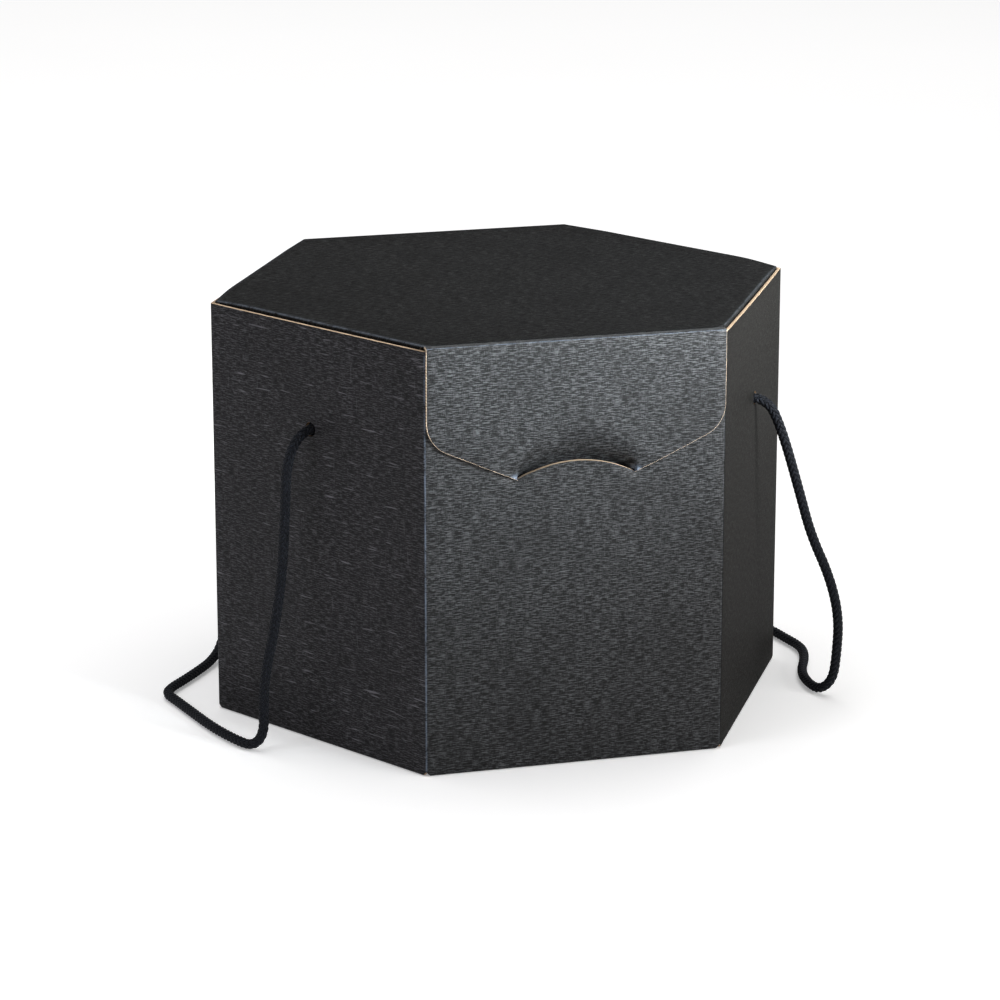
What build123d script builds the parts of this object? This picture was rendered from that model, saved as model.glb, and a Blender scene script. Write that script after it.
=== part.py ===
"""Hexagonal gift box of micro-flute board: hinged tuck-in lid, snap-lock base and two cord handles.

Millimetres. +Z is up and the origin is the centre of the base, on the surface the box stands on.
The front wall, with the slit that the lid's front flap tucks into, faces -Y, and the lid hinges
on the back wall's top edge, at +Y. Two corners of the hexagon lie on the X axis.
"""

import os
from math import atan2, cos, pi, radians, sin, tan

from build123d import *

# ---- board ----
board = 1.5  # thickness of the micro-flute board
crease_gap = 0.2  # clear space left at a folded crease between two panels that move

# ---- walls ----
side = 128.0  # width of a wall, outside
wall_height = 180.0  # floor to the raw top edge of the walls

# ---- lid ----
lid_lift = 0.3  # underside of the lid above the raw top edge of the walls
side_play = 1.0  # between the lid's side creases and the inner faces of the walls
dust_flap_depth = 28.0
dust_flap_lean = 8.0  # degrees that a dust flap leans inwards from vertical
dust_flap_end_angle = 60.0  # slope of a dust flap's cut ends
dust_flap_end_margin = 3.0  # crease left bare at each end of a dust flap

# ---- front flap ----
flap_play = 0.3  # between the flap and the front wall
flap_edge_inset = 0.5  # the flap is this much narrower than the wall at each side
flap_side_height = 38.5  # square corner of the flap below the wall's raw top edge, before rounding
flap_corner_radius = 14.0

# ---- slit in the front wall and the tongue that enters it ----
slit_chord = 50.0
slit_rise = 6.7  # height of the arc over its chord
slit_depth = 56.0  # ends of the slit below the wall's raw top edge
tongue_slant = 19.0  # degrees from vertical
tongue_length = 24.0  # along the slant, from the bend
tongue_tip_width = 26.0
tongue_tip_radius = 8.0
tongue_over_arc = 0.5  # tongue above the inner edge of the arc
tongue_under_slot = 2.2  # top of the slot above the tongue's bend
tongue_side_play = 0.8  # at each side of the tongue
lip_to_tongue_sides = 0.4  # the lip is this much narrower than the slot, at each side

# ---- cord handles ----
cord_diameter = 4.5
cord_hole_diameter = 6.0
cord_hole_depth = 44.0  # middle of the hole below the raw top edge of the walls
cord_hole_from_corner = 61.0  # along the wall, from the corner that the handle goes round
knot_radius = 6.0
knot_bite = 1.5  # how far the knot is pulled flat against the wall
knot_tail = 8.0
cord_lead = 5.8  # straight run of a cord outside its hole, before it bends down

# ---- glue tab ----
glue_tab_width = 15.0
glue_tab_margin = 10.0  # below the wall's top and above the base panels
glue_tab_taper = 6.0

# ---- base ----
base_panel_margin = 3.1  # crease left bare at each end of the front and back base panels
base_panel_taper = 9.0  # each side, from the crease to the free edge
front_base_reach = 16.0  # free edge of the front base panel, past the centre
back_base_reach = 22.0  # free edge of the back base panel, past the centre
lock_tab_half_width = 21.0
lock_tab_play = 2.0  # each side, in the notch
lock_ramp_start = 4.0  # y where the lock tab starts to climb
lock_ramp_length = 26.0
lock_tab_hold = 20.0  # length lying on the back base panel
base_flap_gap = 0.6  # between neighbouring base flaps

# ---- worked out ----
apothem = side * cos(radians(30))
inner_apothem = apothem - board
lid_bottom = wall_height + lid_lift
lid_top = lid_bottom + board
lid_apothem = inner_apothem - side_play
flap_inner_y = -apothem - flap_play
flap_outer_y = flap_inner_y - board
flap_half_width = side / 2 - flap_edge_inset
base_panel_half_width = inner_apothem * tan(radians(30)) - base_panel_margin
half_chord = slit_chord / 2
cord_hole_height = wall_height - cord_hole_depth
slit_end_height = wall_height - slit_depth
slit_crown_height = slit_end_height + slit_rise
slant = radians(tongue_slant)
bend_height = slit_crown_height + tongue_over_arc + (flap_play + 2 * board) / tan(slant)
slot_top = bend_height + tongue_under_slot
tongue_half_width = half_chord - 4 * tongue_side_play
slot_top_half_width = tongue_half_width + tongue_side_play
side_walls = {"front_left": 210, "back_left": 150, "back_right": 30, "front_right": 330}

os.makedirs("parts", exist_ok=True)


def outward(angle):
    """Unit vector in plan, pointing out of the wall at this angle from +X."""
    return Vector(cos(radians(angle)), sin(radians(angle)), 0)


def wall_plane(angle, distance, height=0.0):
    """Plane facing out of a wall, with its Y axis up."""
    normal = outward(angle)
    return Plane(
        origin=normal * distance + Vector(0, 0, height),
        x_dir=Vector(0, 0, 1).cross(normal),
        z_dir=normal,
    )


def corner(angle, radius):
    """A point in plan at this angle from +X."""
    return (radius * cos(radians(angle)), radius * sin(radians(angle)))


def wall_outline(angle):
    """Plan of one wall, mitred to its neighbours."""
    inner = side - board / cos(radians(30))
    return [
        corner(angle - 30, side),
        corner(angle + 30, side),
        corner(angle + 30, inner),
        corner(angle - 30, inner),
    ]


def cord_hole_place(angle):
    """Plane at the middle of a side wall's cord hole, on the wall's outer face."""
    nearest_corner = 0 if cos(radians(angle)) > 0 else 180
    towards = 1 if sin(radians(nearest_corner - angle)) > 0 else -1
    along = Vector(0, 0, 1).cross(outward(angle)) * towards
    middle = outward(angle) * apothem + along * (side / 2 - cord_hole_from_corner)
    return Plane(
        origin=middle + Vector(0, 0, cord_hole_height),
        x_dir=along,
        z_dir=outward(angle),
    )


def finish(part, name):
    """Label a piece and write it to its own file."""
    part.label = name
    export_step(part, f"parts/{name}.step")


# =============================== walls ===============================
with BuildPart() as front_wall:
    with BuildSketch(Plane.XY):
        with BuildLine():
            Polyline(*wall_outline(270), close=True)
        make_face()
    extrude(amount=wall_height)
    # the opening that the tongue goes through: its lower edge is the slit's arc
    with BuildSketch(wall_plane(270, apothem)):
        with BuildLine():
            ThreePointArc(
                (-half_chord, slit_end_height),
                (0, slit_crown_height),
                (half_chord, slit_end_height),
            )
            Polyline(
                (half_chord, slit_end_height),
                (slot_top_half_width, slot_top),
                (-slot_top_half_width, slot_top),
                (-half_chord, slit_end_height),
            )
        make_face()
    extrude(amount=-board, mode=Mode.SUBTRACT)
    # the board above the slit, pushed in behind the tongue and lying parallel to it
    lip_half_width = slot_top_half_width - lip_to_tongue_sides
    lip_drop = slot_top - slit_end_height
    with BuildSketch(Plane.YZ.offset(-lip_half_width)):
        with BuildLine():
            Polyline(
                (-apothem, slot_top),
                (-apothem + lip_drop * tan(slant), slot_top - lip_drop),
                (-apothem + lip_drop * tan(slant) + board / cos(slant), slot_top - lip_drop),
                (-inner_apothem, slot_top + board * tan(slant / 2)),
                (-inner_apothem, slot_top + board),
                (-apothem, slot_top + board),
                close=True,
            )
        make_face()
    extrude(amount=2 * lip_half_width)
    # the lip's free edge is the other side of the same arc cut
    with BuildSketch(wall_plane(270, inner_apothem)):
        with BuildLine():
            ThreePointArc(
                (-half_chord, slit_end_height),
                (0, slit_crown_height),
                (half_chord, slit_end_height),
            )
            Polyline(
                (half_chord, slit_end_height),
                (half_chord, slit_end_height - lip_drop),
                (-half_chord, slit_end_height - lip_drop),
                (-half_chord, slit_end_height),
            )
        make_face()
    extrude(amount=-lip_drop, mode=Mode.SUBTRACT)
finish(front_wall.part, "front_wall")

with BuildPart() as back_wall:
    with BuildSketch(Plane.XY):
        with BuildLine():
            Polyline(*wall_outline(90), close=True)
        make_face()
    extrude(amount=wall_height)
finish(back_wall.part, "back_wall")

for place, angle in side_walls.items():
    with BuildPart() as side_wall:
        with BuildSketch(Plane.XY):
            with BuildLine():
                Polyline(*wall_outline(angle), close=True)
            make_face()
        extrude(amount=wall_height)
        with Locations(cord_hole_place(angle)):
            Hole(cord_hole_diameter / 2, depth=2 * board)
    finish(side_wall.part, f"{place}_wall")

# the strip that closes the tube of walls, glued to the inside of the back wall
with BuildPart() as glue_tab:
    tab_start = inner_apothem * tan(radians(30))
    tab_bottom = 4 * board + glue_tab_margin
    tab_top = wall_height - glue_tab_margin - dust_flap_depth
    with BuildSketch(wall_plane(90, inner_apothem)):
        with BuildLine():
            Polyline(
                (-tab_start, tab_bottom),
                (-tab_start, tab_top),
                (-tab_start + glue_tab_width, tab_top - glue_tab_taper),
                (-tab_start + glue_tab_width, tab_bottom + glue_tab_taper),
                close=True,
            )
        make_face()
    extrude(amount=-board)
finish(glue_tab.part, "glue_tab")

# =============================== snap-lock base ===============================
# Four layers of board: front panel, side flaps, back panel, and the front panel's lock tab.
side_flap_bottom = board
back_panel_bottom = 2 * board
lock_tab_bottom = 3 * board
notch_half_width = lock_tab_half_width + lock_tab_play

with BuildPart() as front_base_panel:
    with BuildSketch(Plane.XY):
        with BuildLine():
            Polyline(
                (-base_panel_half_width, -inner_apothem),
                (base_panel_half_width, -inner_apothem),
                (base_panel_half_width - base_panel_taper, front_base_reach),
                (notch_half_width, front_base_reach),
                (notch_half_width, lock_ramp_start),
                (-notch_half_width, lock_ramp_start),
                (-notch_half_width, front_base_reach),
                (-base_panel_half_width + base_panel_taper, front_base_reach),
                close=True,
            )
        make_face()
    extrude(amount=board)
    ramp_end = lock_ramp_start + lock_ramp_length
    half_climb = atan2(lock_tab_bottom, lock_ramp_length) / 2
    kink = board * tan(half_climb)
    with BuildSketch(Plane.YZ.offset(-lock_tab_half_width)):
        with BuildLine():
            Polyline(
                (lock_ramp_start - board, 0),
                (lock_ramp_start, 0),
                (ramp_end, lock_tab_bottom),
                (ramp_end + lock_tab_hold, lock_tab_bottom),
                (ramp_end + lock_tab_hold, lock_tab_bottom + board),
                (ramp_end - kink, lock_tab_bottom + board),
                (lock_ramp_start - kink, board),
                (lock_ramp_start - board, board),
                close=True,
            )
        make_face()
    extrude(amount=2 * lock_tab_half_width)
finish(front_base_panel.part, "front_base_panel")

with BuildPart() as back_base_panel:
    with BuildSketch(Plane.XY.offset(back_panel_bottom)):
        with BuildLine():
            Polyline(
                (base_panel_half_width, inner_apothem),
                (-base_panel_half_width, inner_apothem),
                (-base_panel_half_width + base_panel_taper, -back_base_reach),
                (-notch_half_width, -back_base_reach),
                (-notch_half_width, ramp_end + base_flap_gap),
                (notch_half_width, ramp_end + base_flap_gap),
                (notch_half_width, -back_base_reach),
                (base_panel_half_width - base_panel_taper, -back_base_reach),
                close=True,
            )
        make_face()
    extrude(amount=board)
finish(back_base_panel.part, "back_base_panel")

# each side flap fills the sixth of the hexagon behind its wall, cut back from the lock tab
flap_radius = inner_apothem / cos(radians(30)) - base_flap_gap
for place, angle in side_walls.items():
    towards_x = 1 if cos(radians(angle)) > 0 else -1
    towards_y = 1 if sin(radians(angle)) > 0 else -1
    inner_x = notch_half_width + base_flap_gap
    x_corner = (towards_x * flap_radius, towards_y * base_flap_gap)
    far_corner = corner(90 * towards_y - 30 * towards_x * towards_y, flap_radius)
    with BuildPart() as base_flap:
        with BuildSketch(Plane.XY.offset(side_flap_bottom)):
            with BuildLine():
                Polyline(
                    x_corner,
                    far_corner,
                    (towards_x * inner_x, towards_y * inner_x * tan(radians(60))),
                    (towards_x * inner_x, towards_y * base_flap_gap),
                    close=True,
                )
            make_face()
        extrude(amount=board)
    finish(base_flap.part, f"{place}_base_flap")

# =============================== lid ===============================
back_half = (lid_apothem - apothem * sin(radians(30))) / cos(radians(30))
front_half = (lid_apothem - inner_apothem * sin(radians(30))) / cos(radians(30))
lid_corner = lid_apothem / cos(radians(30))
with BuildPart() as lid_panel:
    with BuildSketch(Plane.XY.offset(lid_bottom)):
        with BuildLine():
            Polyline(
                (-flap_half_width, flap_outer_y),
                (flap_half_width, flap_outer_y),
                (flap_half_width, -apothem),
                (front_half, -inner_apothem),
                (lid_corner, 0),
                (back_half, apothem),
                (-back_half, apothem),
                (-lid_corner, 0),
                (-front_half, -inner_apothem),
                (-flap_half_width, -apothem),
                close=True,
            )
        make_face()
    extrude(amount=board)
finish(lid_panel.part, "lid_panel")

# dust flaps hang from the lid's four side creases, inside the walls
lean = radians(dust_flap_lean)
dust_top = (board + crease_gap + board * sin(lean)) / cos(lean)
dust_end_run = dust_flap_depth / tan(radians(dust_flap_end_angle))
for place, angle in side_walls.items():
    normal = outward(angle)
    far_end = (back_half, apothem) if "back" in place else (front_half, -inner_apothem)
    x_sign = 1 if cos(radians(angle)) > 0 else -1
    crease_far = Vector(x_sign * far_end[0], far_end[1], lid_top)
    crease_near = Vector(x_sign * lid_corner, 0, lid_top)
    crease_half = (crease_far - crease_near).length / 2 - dust_flap_end_margin
    leaning = normal * cos(lean) - Vector(0, 0, sin(lean))
    dust_plane = Plane(
        origin=(crease_far + crease_near) * 0.5,
        x_dir=Vector(0, 0, 1).cross(normal),
        z_dir=leaning,
    )
    with BuildPart() as dust_flap:
        with BuildSketch(dust_plane):
            with BuildLine():
                Polyline(
                    (-crease_half, -dust_top),
                    (crease_half, -dust_top),
                    (crease_half - dust_end_run, -dust_flap_depth),
                    (-crease_half + dust_end_run, -dust_flap_depth),
                    close=True,
                )
            make_face()
            fillet(vertices().group_by(Axis.Y)[0], radius=dust_flap_depth / 4)
        extrude(amount=-board)
    finish(dust_flap.part, f"{place}_dust_flap")

# the front flap hangs outside the front wall; its tongue slants in through the slot
with BuildPart() as front_flap:
    flap_top = lid_bottom - crease_gap
    flap_shoulder = wall_height - flap_side_height
    with BuildSketch(wall_plane(270, -flap_outer_y)):
        with BuildLine():
            Polyline(
                (-flap_half_width, flap_top),
                (flap_half_width, flap_top),
                (flap_half_width, flap_shoulder),
                (half_chord, slit_end_height),
                (slot_top_half_width, slit_end_height),
                (slot_top_half_width, bend_height),
                (-slot_top_half_width, bend_height),
                (-slot_top_half_width, slit_end_height),
                (-half_chord, slit_end_height),
                (-flap_half_width, flap_shoulder),
                close=True,
            )
        make_face()
        fillet(
            vertices().filter_by_position(Axis.Y, slot_top - 10, flap_top - 5).sort_by(Axis.X)[0::3],
            radius=flap_corner_radius,
        )
    extrude(amount=-board)
    tongue_plane = Plane(
        origin=(0, flap_outer_y, bend_height),
        x_dir=(1, 0, 0),
        z_dir=(0, -cos(slant), -sin(slant)),
    )
    with BuildSketch(tongue_plane):
        with BuildLine():
            Polyline(
                (-tongue_half_width, 0),
                (tongue_half_width, 0),
                (tongue_half_width, -tongue_length / 2),
                (tongue_tip_width / 2, -tongue_length),
                (-tongue_tip_width / 2, -tongue_length),
                (-tongue_half_width, -tongue_length / 2),
                close=True,
            )
        make_face()
        fillet(vertices().group_by(Axis.Y)[0], radius=tongue_tip_radius)
    extrude(amount=-board)
    # the wedge of board at the bend, between the flap and the tongue
    with BuildSketch(Plane.YZ.offset(-tongue_half_width)):
        with BuildLine():
            Polyline(
                (flap_outer_y, bend_height),
                (flap_outer_y + board * cos(slant), bend_height + board * sin(slant)),
                (flap_inner_y, bend_height + board * tan(slant / 2)),
                (flap_inner_y, bend_height + board),
                (flap_outer_y, bend_height + board),
                close=True,
            )
        make_face()
    extrude(amount=2 * tongue_half_width)
finish(front_flap.part, "front_flap")

# =============================== cord handles ===============================
cord_lay = cord_diameter / 2 + 0.05  # height of a cord's middle where it lies on the surface
left_route = [
    (-109.5, -59.4, 124.5),
    (-110.0, -58.2, 104.0),
    (-111.5, -57.4, 76.0),
    (-115.5, -58.5, 52.0),
    (-120.2, -60.0, 33.0),
    (-120.8, -58.8, 19.5),
    (-121.3, -61.5, 7.6),
    (-126.0, -60.5, cord_lay),
    (-131.2, -50.5, cord_lay),
    (-137.4, -31.5, cord_lay),
    (-142.2, -8.0, cord_lay),
    (-145.2, 7.0, cord_lay),
    (-147.6, 17.5, cord_lay),
    (-144.0, 25.2, cord_lay),
    (-136.5, 34.0, cord_lay),
    (-126.5, 47.0, cord_lay),
    (-120.5, 58.5, cord_lay),
    (-118.6, 66.6, 6.8),
    (-117.4, 67.0, 19.0),
    (-114.0, 63.8, 43.0),
    (-111.6, 61.0, 76.0),
    (-110.2, 60.0, 105.0),
    (-109.2, 59.2, 124.5),
]
right_route = [
    (108.4, -58.2, 122.5),
    (117.0, -58.9, 93.5),
    (122.0, -60.0, 75.0),
    (130.5, -62.2, 55.5),
    (135.0, -62.6, 37.0),
    (135.2, -60.2, 19.0),
    (134.0, -59.6, 7.8),
    (129.4, -56.2, cord_lay),
    (127.8, -45.0, cord_lay),
    (130.4, -29.5, cord_lay),
    (139.2, -11.0, cord_lay),
    (143.0, 3.5, cord_lay),
    (140.6, 18.5, cord_lay),
    (138.4, 33.0, cord_lay),
    (131.5, 47.0, cord_lay),
    (123.0, 58.0, cord_lay),
    (118.8, 65.4, 7.2),
    (117.6, 66.4, 20.0),
    (114.4, 63.4, 45.0),
    (111.4, 61.2, 77.0),
    (110.4, 59.8, 106.0),
    (109.2, 59.2, 124.5),
]


def handle_route(side_name, points):
    """The whole route: out of the front wall's hole, round the corner and into the back one."""
    ends = []
    for row in ("front", "back"):
        hole = cord_hole_place(side_walls[f"{row}_{side_name}"])
        ends.append([tuple(hole.offset(-board).origin), tuple(hole.offset(cord_lead).origin)])
    return ends[0] + points + ends[1][::-1]


def route_radii(points):
    """Radius of the arc at each inner point of a route: as large as its two runs allow."""
    radii = []
    for before, here, after in zip(points, points[1:], points[2:]):
        run_in = Vector(here) - Vector(before)
        run_out = Vector(after) - Vector(here)
        half_turn = radians(run_in.get_angle(run_out)) / 2
        radii.append(0.45 * min(run_in.length, run_out.length) / tan(half_turn))
    return radii


cord_area = pi * cord_diameter**2 / 4
for place, points in {"left": left_route, "right": right_route}.items():
    route = handle_route(place, points)
    radii = route_radii(route)
    with BuildPart() as cord:
        with BuildLine() as path:
            FilletPolyline(*route, radius=radii)
        start = path.wire() @ 0
        along = path.wire() % 0
        with BuildSketch(Plane(origin=start, z_dir=along)):
            Circle(cord_diameter / 2)
        sweep(path=path.wire())
    length = path.wire().length
    print(place, "cord: length", round(length, 1), "smallest radius", round(min(radii), 1))
    print("  radii", [round(radius, 1) for radius in radii])
    print("  volume / (section x length)", round(cord.part.volume / (cord_area * length), 4))
    finish(cord.part, f"{place}_handle_cord")

# overhand knots inside the walls, each pulled flat against its hole, with a short tail
for place, angle in side_walls.items():
    hole_place = cord_hole_place(angle)
    inner_face = hole_place.offset(-board)
    with BuildPart() as knot:
        with Locations(hole_place.offset(-board - knot_radius + knot_bite)):
            Sphere(knot_radius)
        split(bisect_by=inner_face, keep=Keep.BOTTOM)
        with BuildSketch(hole_place.offset(-board - knot_radius)):
            Circle(cord_diameter / 2)
        extrude(amount=-knot_radius - knot_tail + knot_bite)
    finish(knot.part, f"{place}_knot")
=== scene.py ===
"""Looks of a hexagonal gift box: creased linen board, a tucked front flap and two braided cord handles."""

import logging
import math
from dataclasses import dataclass, field
from enum import IntEnum
from typing import Callable

import bmesh
import bpy
import numpy as np
from mathutils import Euler, Matrix, Vector


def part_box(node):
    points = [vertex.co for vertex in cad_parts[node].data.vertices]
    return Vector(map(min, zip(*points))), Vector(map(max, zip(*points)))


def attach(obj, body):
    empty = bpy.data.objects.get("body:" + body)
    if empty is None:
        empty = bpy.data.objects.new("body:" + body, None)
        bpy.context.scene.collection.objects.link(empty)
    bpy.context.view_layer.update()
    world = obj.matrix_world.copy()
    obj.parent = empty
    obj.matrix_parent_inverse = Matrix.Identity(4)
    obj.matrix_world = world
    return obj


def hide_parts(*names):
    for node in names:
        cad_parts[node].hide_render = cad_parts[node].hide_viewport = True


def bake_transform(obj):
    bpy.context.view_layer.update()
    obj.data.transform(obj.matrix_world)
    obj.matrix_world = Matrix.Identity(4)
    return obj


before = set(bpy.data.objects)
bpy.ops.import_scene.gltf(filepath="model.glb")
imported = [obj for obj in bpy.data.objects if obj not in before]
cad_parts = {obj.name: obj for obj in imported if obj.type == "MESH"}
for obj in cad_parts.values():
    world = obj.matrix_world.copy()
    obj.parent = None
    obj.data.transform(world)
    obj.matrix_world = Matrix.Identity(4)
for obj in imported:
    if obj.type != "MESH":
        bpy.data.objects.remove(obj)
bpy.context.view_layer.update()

MM = 0.001
TOUCH = 1e-6
log = logging.getLogger("gift_box")

Socket = bpy.types.NodeSocket
Ring = list[tuple[float, float]]
Corner = tuple[float, float, float]


class Face(IntEnum):
    """Material slots that every piece of board has."""

    OUTSIDE = 0
    INSIDE = 1
    CUT = 2
    FLUTE_ENDS = 3


# =============================== finishes ===============================


class Desk:
    """A node tree being wired up, with short ways to add the nodes that the finishes share."""

    def __init__(self, tree: bpy.types.NodeTree) -> None:
        """Takes the node tree to work on.

        Args:
            tree: the tree of a material or of a node group.
        """
        self.tree = tree

    def add(self, kind: str, values: dict | None = None, **settings: object) -> bpy.types.Node:
        """Adds a node.

        Args:
            kind: the node's type name.
            values: socket name or number to a constant, or to an output socket that feeds it.
            settings: the node's own settings.

        Returns:
            The new node.
        """
        node = self.tree.nodes.new(kind)
        for name, value in settings.items():
            setattr(node, name, value)
        for key, value in (values or {}).items():
            if isinstance(value, Socket):
                self.tree.links.new(value, node.inputs[key])
            else:
                node.inputs[key].default_value = value
        return node

    def math(self, operation: str, first: object, second: object = 0.0, clamp: bool = False) -> Socket:
        """Adds a Math node and returns its output."""
        values = {0: first, 1: second}
        return self.add("ShaderNodeMath", values, operation=operation, use_clamp=clamp).outputs[0]

    def sum(self, *shares: tuple[object, float]) -> Socket:
        """Adds sockets up, each times its factor.

        Args:
            shares: each socket and its factor.

        Returns:
            The sum's socket.
        """
        total = self.math("MULTIPLY", *shares[0])
        for socket, factor in shares[1:]:
            total = self.math("ADD", total, self.math("MULTIPLY", socket, factor))
        return total

    def stretched(self, vector: object, scale: tuple[float, float, float]) -> Socket:
        """Returns a vector multiplied along each axis."""
        return self.add("ShaderNodeVectorMath", {0: vector, 1: scale}, operation="MULTIPLY").outputs[0]

    def noise(self, vector: object, detail: float = 2.0, roughness: float = 0.5, scale: float = 1.0) -> Socket:
        """Adds a Noise Texture and returns its value."""
        values = {"Vector": vector, "Scale": scale, "Detail": detail, "Roughness": roughness}
        return self.add("ShaderNodeTexNoise", values).outputs[0]

    def between(self, value: object, low: float, high: float) -> Socket:
        """Returns 0 below low and 1 above high, with a smooth step between."""
        values = {"Value": value, "From Min": low, "From Max": high}
        return self.add("ShaderNodeMapRange", values, interpolation_type="SMOOTHSTEP").outputs[0]

    def mixed(self, share: object, first: object, second: object) -> Socket:
        """Adds a colour mix.

        Args:
            share: how much of the second colour there is.
            first: a colour, or an output socket that feeds it.
            second: the same.

        Returns:
            The mixed colour's socket.
        """
        node = self.add("ShaderNodeMix", data_type="RGBA")
        for index, value in ((0, share), (6, first), (7, second)):
            if isinstance(value, Socket):
                self.tree.links.new(value, node.inputs[index])
            else:
                node.inputs[index].default_value = value
        return node.outputs[2]


def new_group(
    name: str, inputs: dict[str, tuple[str, object]], outputs: dict[str, str]
) -> tuple[Desk, bpy.types.Node, bpy.types.Node]:
    """Makes an empty shader node group.

    Args:
        name: the group's name.
        inputs: socket name to its kind and default.
        outputs: socket name to its kind.

    Returns:
        The desk of the group's tree, its input node and its output node.
    """
    tree = bpy.data.node_groups.new(name, "ShaderNodeTree")
    for label, (kind, default) in inputs.items():
        socket = tree.interface.new_socket(name=label, in_out="INPUT", socket_type=kind)
        if default is not None:
            socket.default_value = default
    for label, kind in outputs.items():
        tree.interface.new_socket(name=label, in_out="OUTPUT", socket_type=kind)
    desk = Desk(tree)
    return desk, desk.add("NodeGroupInput"), desk.add("NodeGroupOutput")


FLOAT, VECTOR = "NodeSocketFloat", "NodeSocketVector"


def linen_emboss_group() -> bpy.types.NodeTree:
    """Linen embossing: crossed threads of uneven length and thickness, with slubs.

    Returns:
        The group.
    """
    desk, given, result = new_group(
        "linen_emboss",
        {"Sheet": (VECTOR, None), "Across": (FLOAT, 0.6), "Slubs": (FLOAT, 0.5)},
        {"Height": FLOAT, "Threads": FLOAT, "Slub": FLOAT},
    )
    sheet = given.outputs["Sheet"]
    weft = desk.noise(desk.stretched(sheet, (270.0, 2500.0, 1.0)), 0.0, 0.5)
    fine_weft = desk.noise(desk.stretched(sheet, (700.0, 3900.0, 1.0)), 0.0, 0.5)
    warp = desk.noise(desk.stretched(sheet, (2700.0, 420.0, 1.0)), 0.0, 0.5)
    grain = desk.noise(desk.stretched(sheet, (3600.0, 3600.0, 1.0)), 0.0, 0.5)
    wefts = desk.sum((weft, 0.6), (fine_weft, 0.4))
    warps = desk.sum((warp, 0.5), (grain, 0.5))
    crossed = desk.math("ADD", wefts, desk.math("MULTIPLY", warps, given.outputs["Across"]))
    total = desk.math("ADD", given.outputs["Across"], 1.0)
    height = desk.math("DIVIDE", crossed, total)
    long_slub = desk.between(desk.noise(desk.stretched(sheet, (75.0, 900.0, 1.0)), 2.0, 0.5), 0.63, 0.74)
    upright_slub = desk.between(desk.noise(desk.stretched(sheet, (950.0, 70.0, 1.0)), 2.0, 0.5), 0.65, 0.76)
    few_upright = desk.math("MULTIPLY", upright_slub, 0.3)
    slub = desk.math("MULTIPLY", desk.math("ADD", long_slub, few_upright, True), given.outputs["Slubs"])
    desk.tree.links.new(desk.math("ADD", height, desk.math("MULTIPLY", slub, 0.12)), result.inputs["Height"])
    threads = desk.math("POWER", desk.between(height, 0.41, 0.65), 1.5)
    desk.tree.links.new(threads, result.inputs["Threads"])
    desk.tree.links.new(slub, result.inputs["Slub"])
    return desk.tree


def crease_wear_and_highlight_group() -> bpy.types.NodeTree:
    """Scuffing of the printed face along a crease, together with painted highlights on folds and painted glints by
    the slit, broken up where the crease saw less rubbing.

    Returns:
        The group.
    """
    desk, given, result = new_group(
        "crease_wear_and_highlight",
        {"WearAndHighlight": (FLOAT, 0.0), "Place": (VECTOR, None), "Amount": (FLOAT, 0.6)},
        {"Mask": FLOAT},
    )
    patches = desk.noise(given.outputs["Place"], 4.0, 0.65, 260.0)
    specks = desk.noise(given.outputs["Place"], 2.0, 0.6, 1900.0)
    broken = desk.sum((patches, 0.7), (specks, 0.5))
    rub_and_highlight = desk.math("MULTIPLY", given.outputs["WearAndHighlight"], desk.between(broken, 0.42, 0.7))
    desk.tree.links.new(desk.math("MULTIPLY", rub_and_highlight, given.outputs["Amount"], True), result.inputs["Mask"])
    return desk.tree


def paper_fibre_group() -> bpy.types.NodeTree:
    """Fibres and clouding of uncoated paper, stretched along the sheet's grain.

    Returns:
        The group.
    """
    desk, given, result = new_group(
        "paper_fibre",
        {"Place": (VECTOR, None), "Grain": (FLOAT, 0.5)},
        {"Cloud": FLOAT, "Fibre": FLOAT, "Fleck": FLOAT},
    )
    place = given.outputs["Place"]
    cloud = desk.noise(place, 4.0, 0.6, 140.0)
    fibre = desk.noise(desk.stretched(place, (1900.0, 700.0, 1900.0)), 4.0, 0.7)
    fleck = desk.between(desk.noise(desk.stretched(place, (1500.0, 800.0, 1500.0)), 1.0, 0.4), 0.68, 0.78)
    desk.tree.links.new(cloud, result.inputs["Cloud"])
    strength = desk.math("ADD", given.outputs["Grain"], 0.5)
    desk.tree.links.new(desk.math("MULTIPLY", fibre, strength), result.inputs["Fibre"])
    desk.tree.links.new(fleck, result.inputs["Fleck"])
    return desk.tree


@dataclass(frozen=True)
class Finish:
    """What every finish has: a name, and the shader values that are the same all over."""

    name: str
    roughness: float = 0.6
    specular: float = 0.5
    ior: float = 1.4

    def start(self) -> tuple[bpy.types.Material, Desk, bpy.types.Node]:
        """Makes the material with its shader.

        Returns:
            The material, the desk of its tree and its shader node.
        """
        material = bpy.data.materials.new(self.name)
        material.use_nodes = True
        material.node_tree.nodes.clear()
        desk = Desk(material.node_tree)
        values = {"Roughness": self.roughness, "Specular IOR Level": self.specular, "IOR": self.ior}
        shader = desk.add("ShaderNodeBsdfPrincipled", values)
        output = desk.add("ShaderNodeOutputMaterial")
        material.node_tree.links.new(shader.outputs[0], output.inputs[0])
        return material, desk, shader

    def bump(self, desk: Desk, shader: bpy.types.Node, height: object, depth: float) -> None:
        """Feeds a height to the shader's normal.

        Args:
            desk: the material's desk.
            shader: its shader node.
            height: output socket with the height, 0 to 1.
            depth: how deep the relief is, in metres.
        """
        relief = desk.add("ShaderNodeBump", {"Strength": 1.0, "Distance": depth, "Height": height})
        desk.tree.links.new(relief.outputs[0], shader.inputs["Normal"])


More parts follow.
